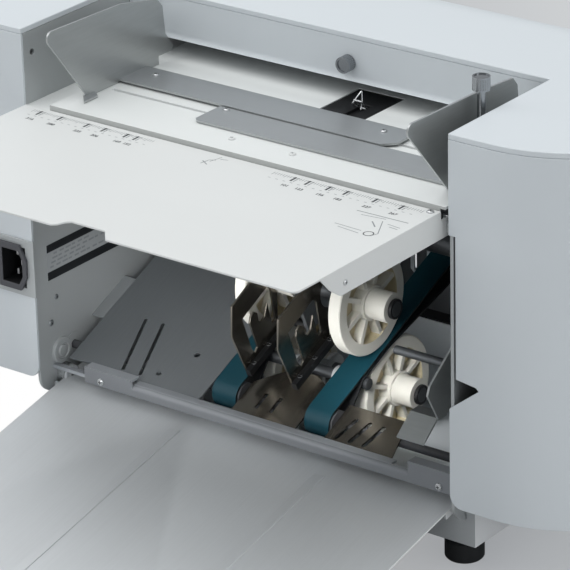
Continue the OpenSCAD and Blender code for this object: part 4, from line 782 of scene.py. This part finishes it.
# ---------- pressed louvres behind the slots of the rear panel ----------
def louvre_tree():
    """A row of vanes, one behind each slot."""
    tree = bpy.data.node_groups.new("louvre_row", "GeometryNodeTree")
    tree.interface.new_socket("Geometry", in_out="INPUT", socket_type="NodeSocketGeometry")
    for label, kind in (("Vane", "NodeSocketObject"), ("Count", "NodeSocketInt"), ("Pitch", "NodeSocketVector"),
                        ("First", "NodeSocketVector"), ("Paint", "NodeSocketMaterial")):
        tree.interface.new_socket(label, in_out="INPUT", socket_type=kind)
    tree.interface.new_socket("Geometry", in_out="OUTPUT", socket_type="NodeSocketGeometry")
    add, join = tree.nodes.new, tree.links.new
    given, out = add("NodeGroupInput"), add("NodeGroupOutput")
    line = add("GeometryNodeMeshLine")
    join(given.outputs["Count"], line.inputs["Count"])
    join(given.outputs["First"], line.inputs["Start Location"])
    join(given.outputs["Pitch"], line.inputs["Offset"])
    vane = add("GeometryNodeObjectInfo")
    join(given.outputs["Vane"], vane.inputs["Object"])
    spread = add("GeometryNodeInstanceOnPoints")
    join(line.outputs[0], spread.inputs["Points"])
    join(vane.outputs["Geometry"], spread.inputs["Instance"])
    real = add("GeometryNodeRealizeInstances")
    join(spread.outputs[0], real.inputs[0])
    paint = add("GeometryNodeSetMaterial")
    join(real.outputs[0], paint.inputs["Geometry"])
    join(given.outputs["Paint"], paint.inputs["Material"])
    join(paint.outputs[0], out.inputs[0])
    return tree


# outline of a vane seen from above, and half its height; slots across the panel and the first one's middle
VANE = [(-2.6, 0), (-2.0, 0), (4.6, -5.2), (4.6, -6.0), (4.0, -6.0), (-2.6, -0.8)]
VANE_HALF = 0.024
SLOTS, SLOT_PITCH, FIRST_SLOT = 11, 0.014, at(-70, 243.02, 104)


def rear_louvres():
    bm = bmesh.new()
    low_ring = [bm.verts.new((x * MM, y * MM, -VANE_HALF)) for x, y in VANE]
    high_ring = [bm.verts.new((x * MM, y * MM, VANE_HALF)) for x, y in VANE]
    bm.faces.new(low_ring)
    bm.faces.new(list(reversed(high_ring)))
    for k in range(len(VANE)):
        m = (k + 1) % len(VANE)
        bm.faces.new((low_ring[k], high_ring[k], high_ring[m], low_ring[m]))
    bmesh.ops.recalc_face_normals(bm, faces=bm.faces)
    vane = mesh_object("louvre_vane", bm)
    tree = louvre_tree()
    obj = mesh_object("rear_louvres", bmesh.new())
    modifier = obj.modifiers.new("louvre_row", "NODES")
    modifier.node_group = tree
    set_inputs(modifier, tree, Vane=vane, Count=SLOTS, Pitch=(SLOT_PITCH, 0, 0), First=FIRST_SLOT,
               Paint=FINISH["shell_white"])
    bake(obj)
    bpy.data.objects.remove(vane)
    put(obj, "chassis", "shell_white")


rear_louvres()
bpy.data.objects.remove(HEAD)


# ---------- studio ----------
def ramp_node(tree, factor, stops):
    ramp = tree.nodes.new("ShaderNodeValToRGB")
    while len(ramp.color_ramp.elements) < len(stops):
        ramp.color_ramp.elements.new(0.5)
    for element, (position, code) in zip(ramp.color_ramp.elements, stops):
        element.position = position
        element.color = tone(code)
    tree.links.new(factor, ramp.inputs[0])
    return ramp.outputs[0]


FLOOR_BASE = (0.62, 0.62, 0.62, 1)
# painted light and shade: tone that the camera sees as a glow, and its share against the lit floor, from the
# left front to the right rear
FLOOR_GLOW = [(0.42, "FFFFFF"), (0.48, "F0F1F1"), (0.57, "BFC2C6"), (0.75, "E6EAEA")]
FLOOR_SHARE = [(0.43, "FFFFFF"), (0.52, "C4C4C4"), (0.8, "E4E4E4")]
FLOOR_HALF = 6
SKY = [(0.45, "7E848B"), (0.95, "F8FAFB")]
SKY_STRENGTH = 0.84
LENS = 234.598
CAMERA = Matrix((
    (0.79878452, -0.22423159, 0.5582683, 1.36454),
    (0.60118571, 0.3326453, -0.726583, -1.74942),
    (-0.02278247, 0.91600617, 0.40051674, 1.12091),
    (0, 0, 0, 1)))
# name, place, size, power, target and spread in degrees; the four fills are small and stay by the openings
LAMPS = [
    ("softbox_top", (-0.4, -0.5, 2.4), (2.2, 2.2), 24, (0, 0, 0.15), 180),
    ("softbox_left", (-2.2, -1.0, 1.6), (1.6, 1.6), 10, (0, 0, 0.15), 180),
    ("softbox_right", (2.3, 0.1, 0.9), (1.2, 1.2), 8, (0, 0, 0.15), 180),
    ("throat_fill", (-0.03, -0.15, 0.15), (0.18, 0.1), 0.08, (-0.04, 0.12, 0.11), 66),
    ("wall_fill", (0.03, -0.13, 0.17), (0.08, 0.06), 0.014, (-0.17, 0.05, 0.10), 46),
    ("deck_fill", (0.0, 0.076, 0.274), (0.3, 0.008), 0.0045, (0.0, 0.0905, 0.254), 85),
    ("wheel_fill", (0.11, -0.10, 0.18), (0.05, 0.04), 0.02, (0.055, 0.075, 0.05), 36),
]


def floor_material():
    """Pale floor with painted light and shade: a glow that only the camera sees, white at the left and light
    grey to the right and behind, mixed with the lit floor.
    """
    mat = bpy.data.materials.new("studio_floor")
    mat.use_nodes = True
    tree = mat.node_tree
    shader = tree.nodes["Principled BSDF"]
    shader.inputs["Base Color"].default_value = FLOOR_BASE
    shader.inputs["Roughness"].default_value = 0.9
    coords = tree.nodes.new("ShaderNodeTexCoord")
    split = tree.nodes.new("ShaderNodeSeparateXYZ")
    tree.links.new(coords.outputs["Object"], split.inputs[0])
    across = math_node(tree, "ADD", math_node(tree, "MULTIPLY", split.outputs["X"], 0.8),
                       math_node(tree, "MULTIPLY", split.outputs["Y"], 0.6))
    spread = math_node(tree, "ADD", math_node(tree, "MULTIPLY", across, 0.5), 0.5)
    glow = tree.nodes.new("ShaderNodeEmission")
    tree.links.new(ramp_node(tree, spread, FLOOR_GLOW), glow.inputs["Color"])
    seen = tree.nodes.new("ShaderNodeLightPath")
    blend = tree.nodes.new("ShaderNodeMixShader")
    share = ramp_node(tree, spread, FLOOR_SHARE)
    tree.links.new(math_node(tree, "MULTIPLY", seen.outputs["Is Camera Ray"], share), blend.inputs[0])
    tree.links.new(shader.outputs[0], blend.inputs[1])
    tree.links.new(glow.outputs[0], blend.inputs[2])
    tree.links.new(blend.outputs[0], tree.nodes["Material Output"].inputs["Surface"])
    return mat


def softbox(name, place, size, power, target, spread):
    """Rectangular lamp that the camera doesn't see, turned to its target."""
    lamp = bpy.data.lights.new(name, "AREA")
    lamp.shape = "RECTANGLE"
    lamp.size, lamp.size_y = size
    lamp.energy = power
    lamp.spread = math.radians(spread)
    obj = bpy.data.objects.new(name, lamp)
    obj.location = place
    aim = Vector(target) - Vector(place)
    obj.rotation_euler = aim.to_track_quat("-Z", "Y").to_euler()
    obj.visible_camera = False
    bpy.context.scene.collection.objects.link(obj)


def studio():
    scene = bpy.context.scene
    camera = bpy.data.objects.new("photo_camera", bpy.data.cameras.new("photo_camera"))
    scene.collection.objects.link(camera)
    camera.data.sensor_fit = "HORIZONTAL"
    camera.data.sensor_width = 36.0
    camera.data.lens = LENS
    camera.data.clip_end = 50.0
    camera.matrix_world = CAMERA
    scene.camera = camera

    bm = bmesh.new()
    for x, y in ((-1, -1), (1, -1), (1, 1), (-1, 1)):
        bm.verts.new((x * FLOOR_HALF, y * FLOOR_HALF, 0))
    bm.faces.new(bm.verts)
    floor = mesh_object("floor", bm, floor_material())

    world = bpy.data.worlds.new("studio_world")
    world.use_nodes = True
    scene.world = world
    sky = world.node_tree
    coords = sky.nodes.new("ShaderNodeTexCoord")
    split = sky.nodes.new("ShaderNodeSeparateXYZ")
    sky.links.new(coords.outputs["Generated"], split.inputs[0])
    height = math_node(sky, "ADD", math_node(sky, "MULTIPLY", split.outputs["Z"], 0.5), 0.5)
    sky.links.new(ramp_node(sky, height, SKY), sky.nodes["Background"].inputs["Color"])
    sky.nodes["Background"].inputs["Strength"].default_value = SKY_STRENGTH

    for lamp in LAMPS:
        softbox(*lamp)
    scene.view_settings.view_transform = "Standard"


studio()
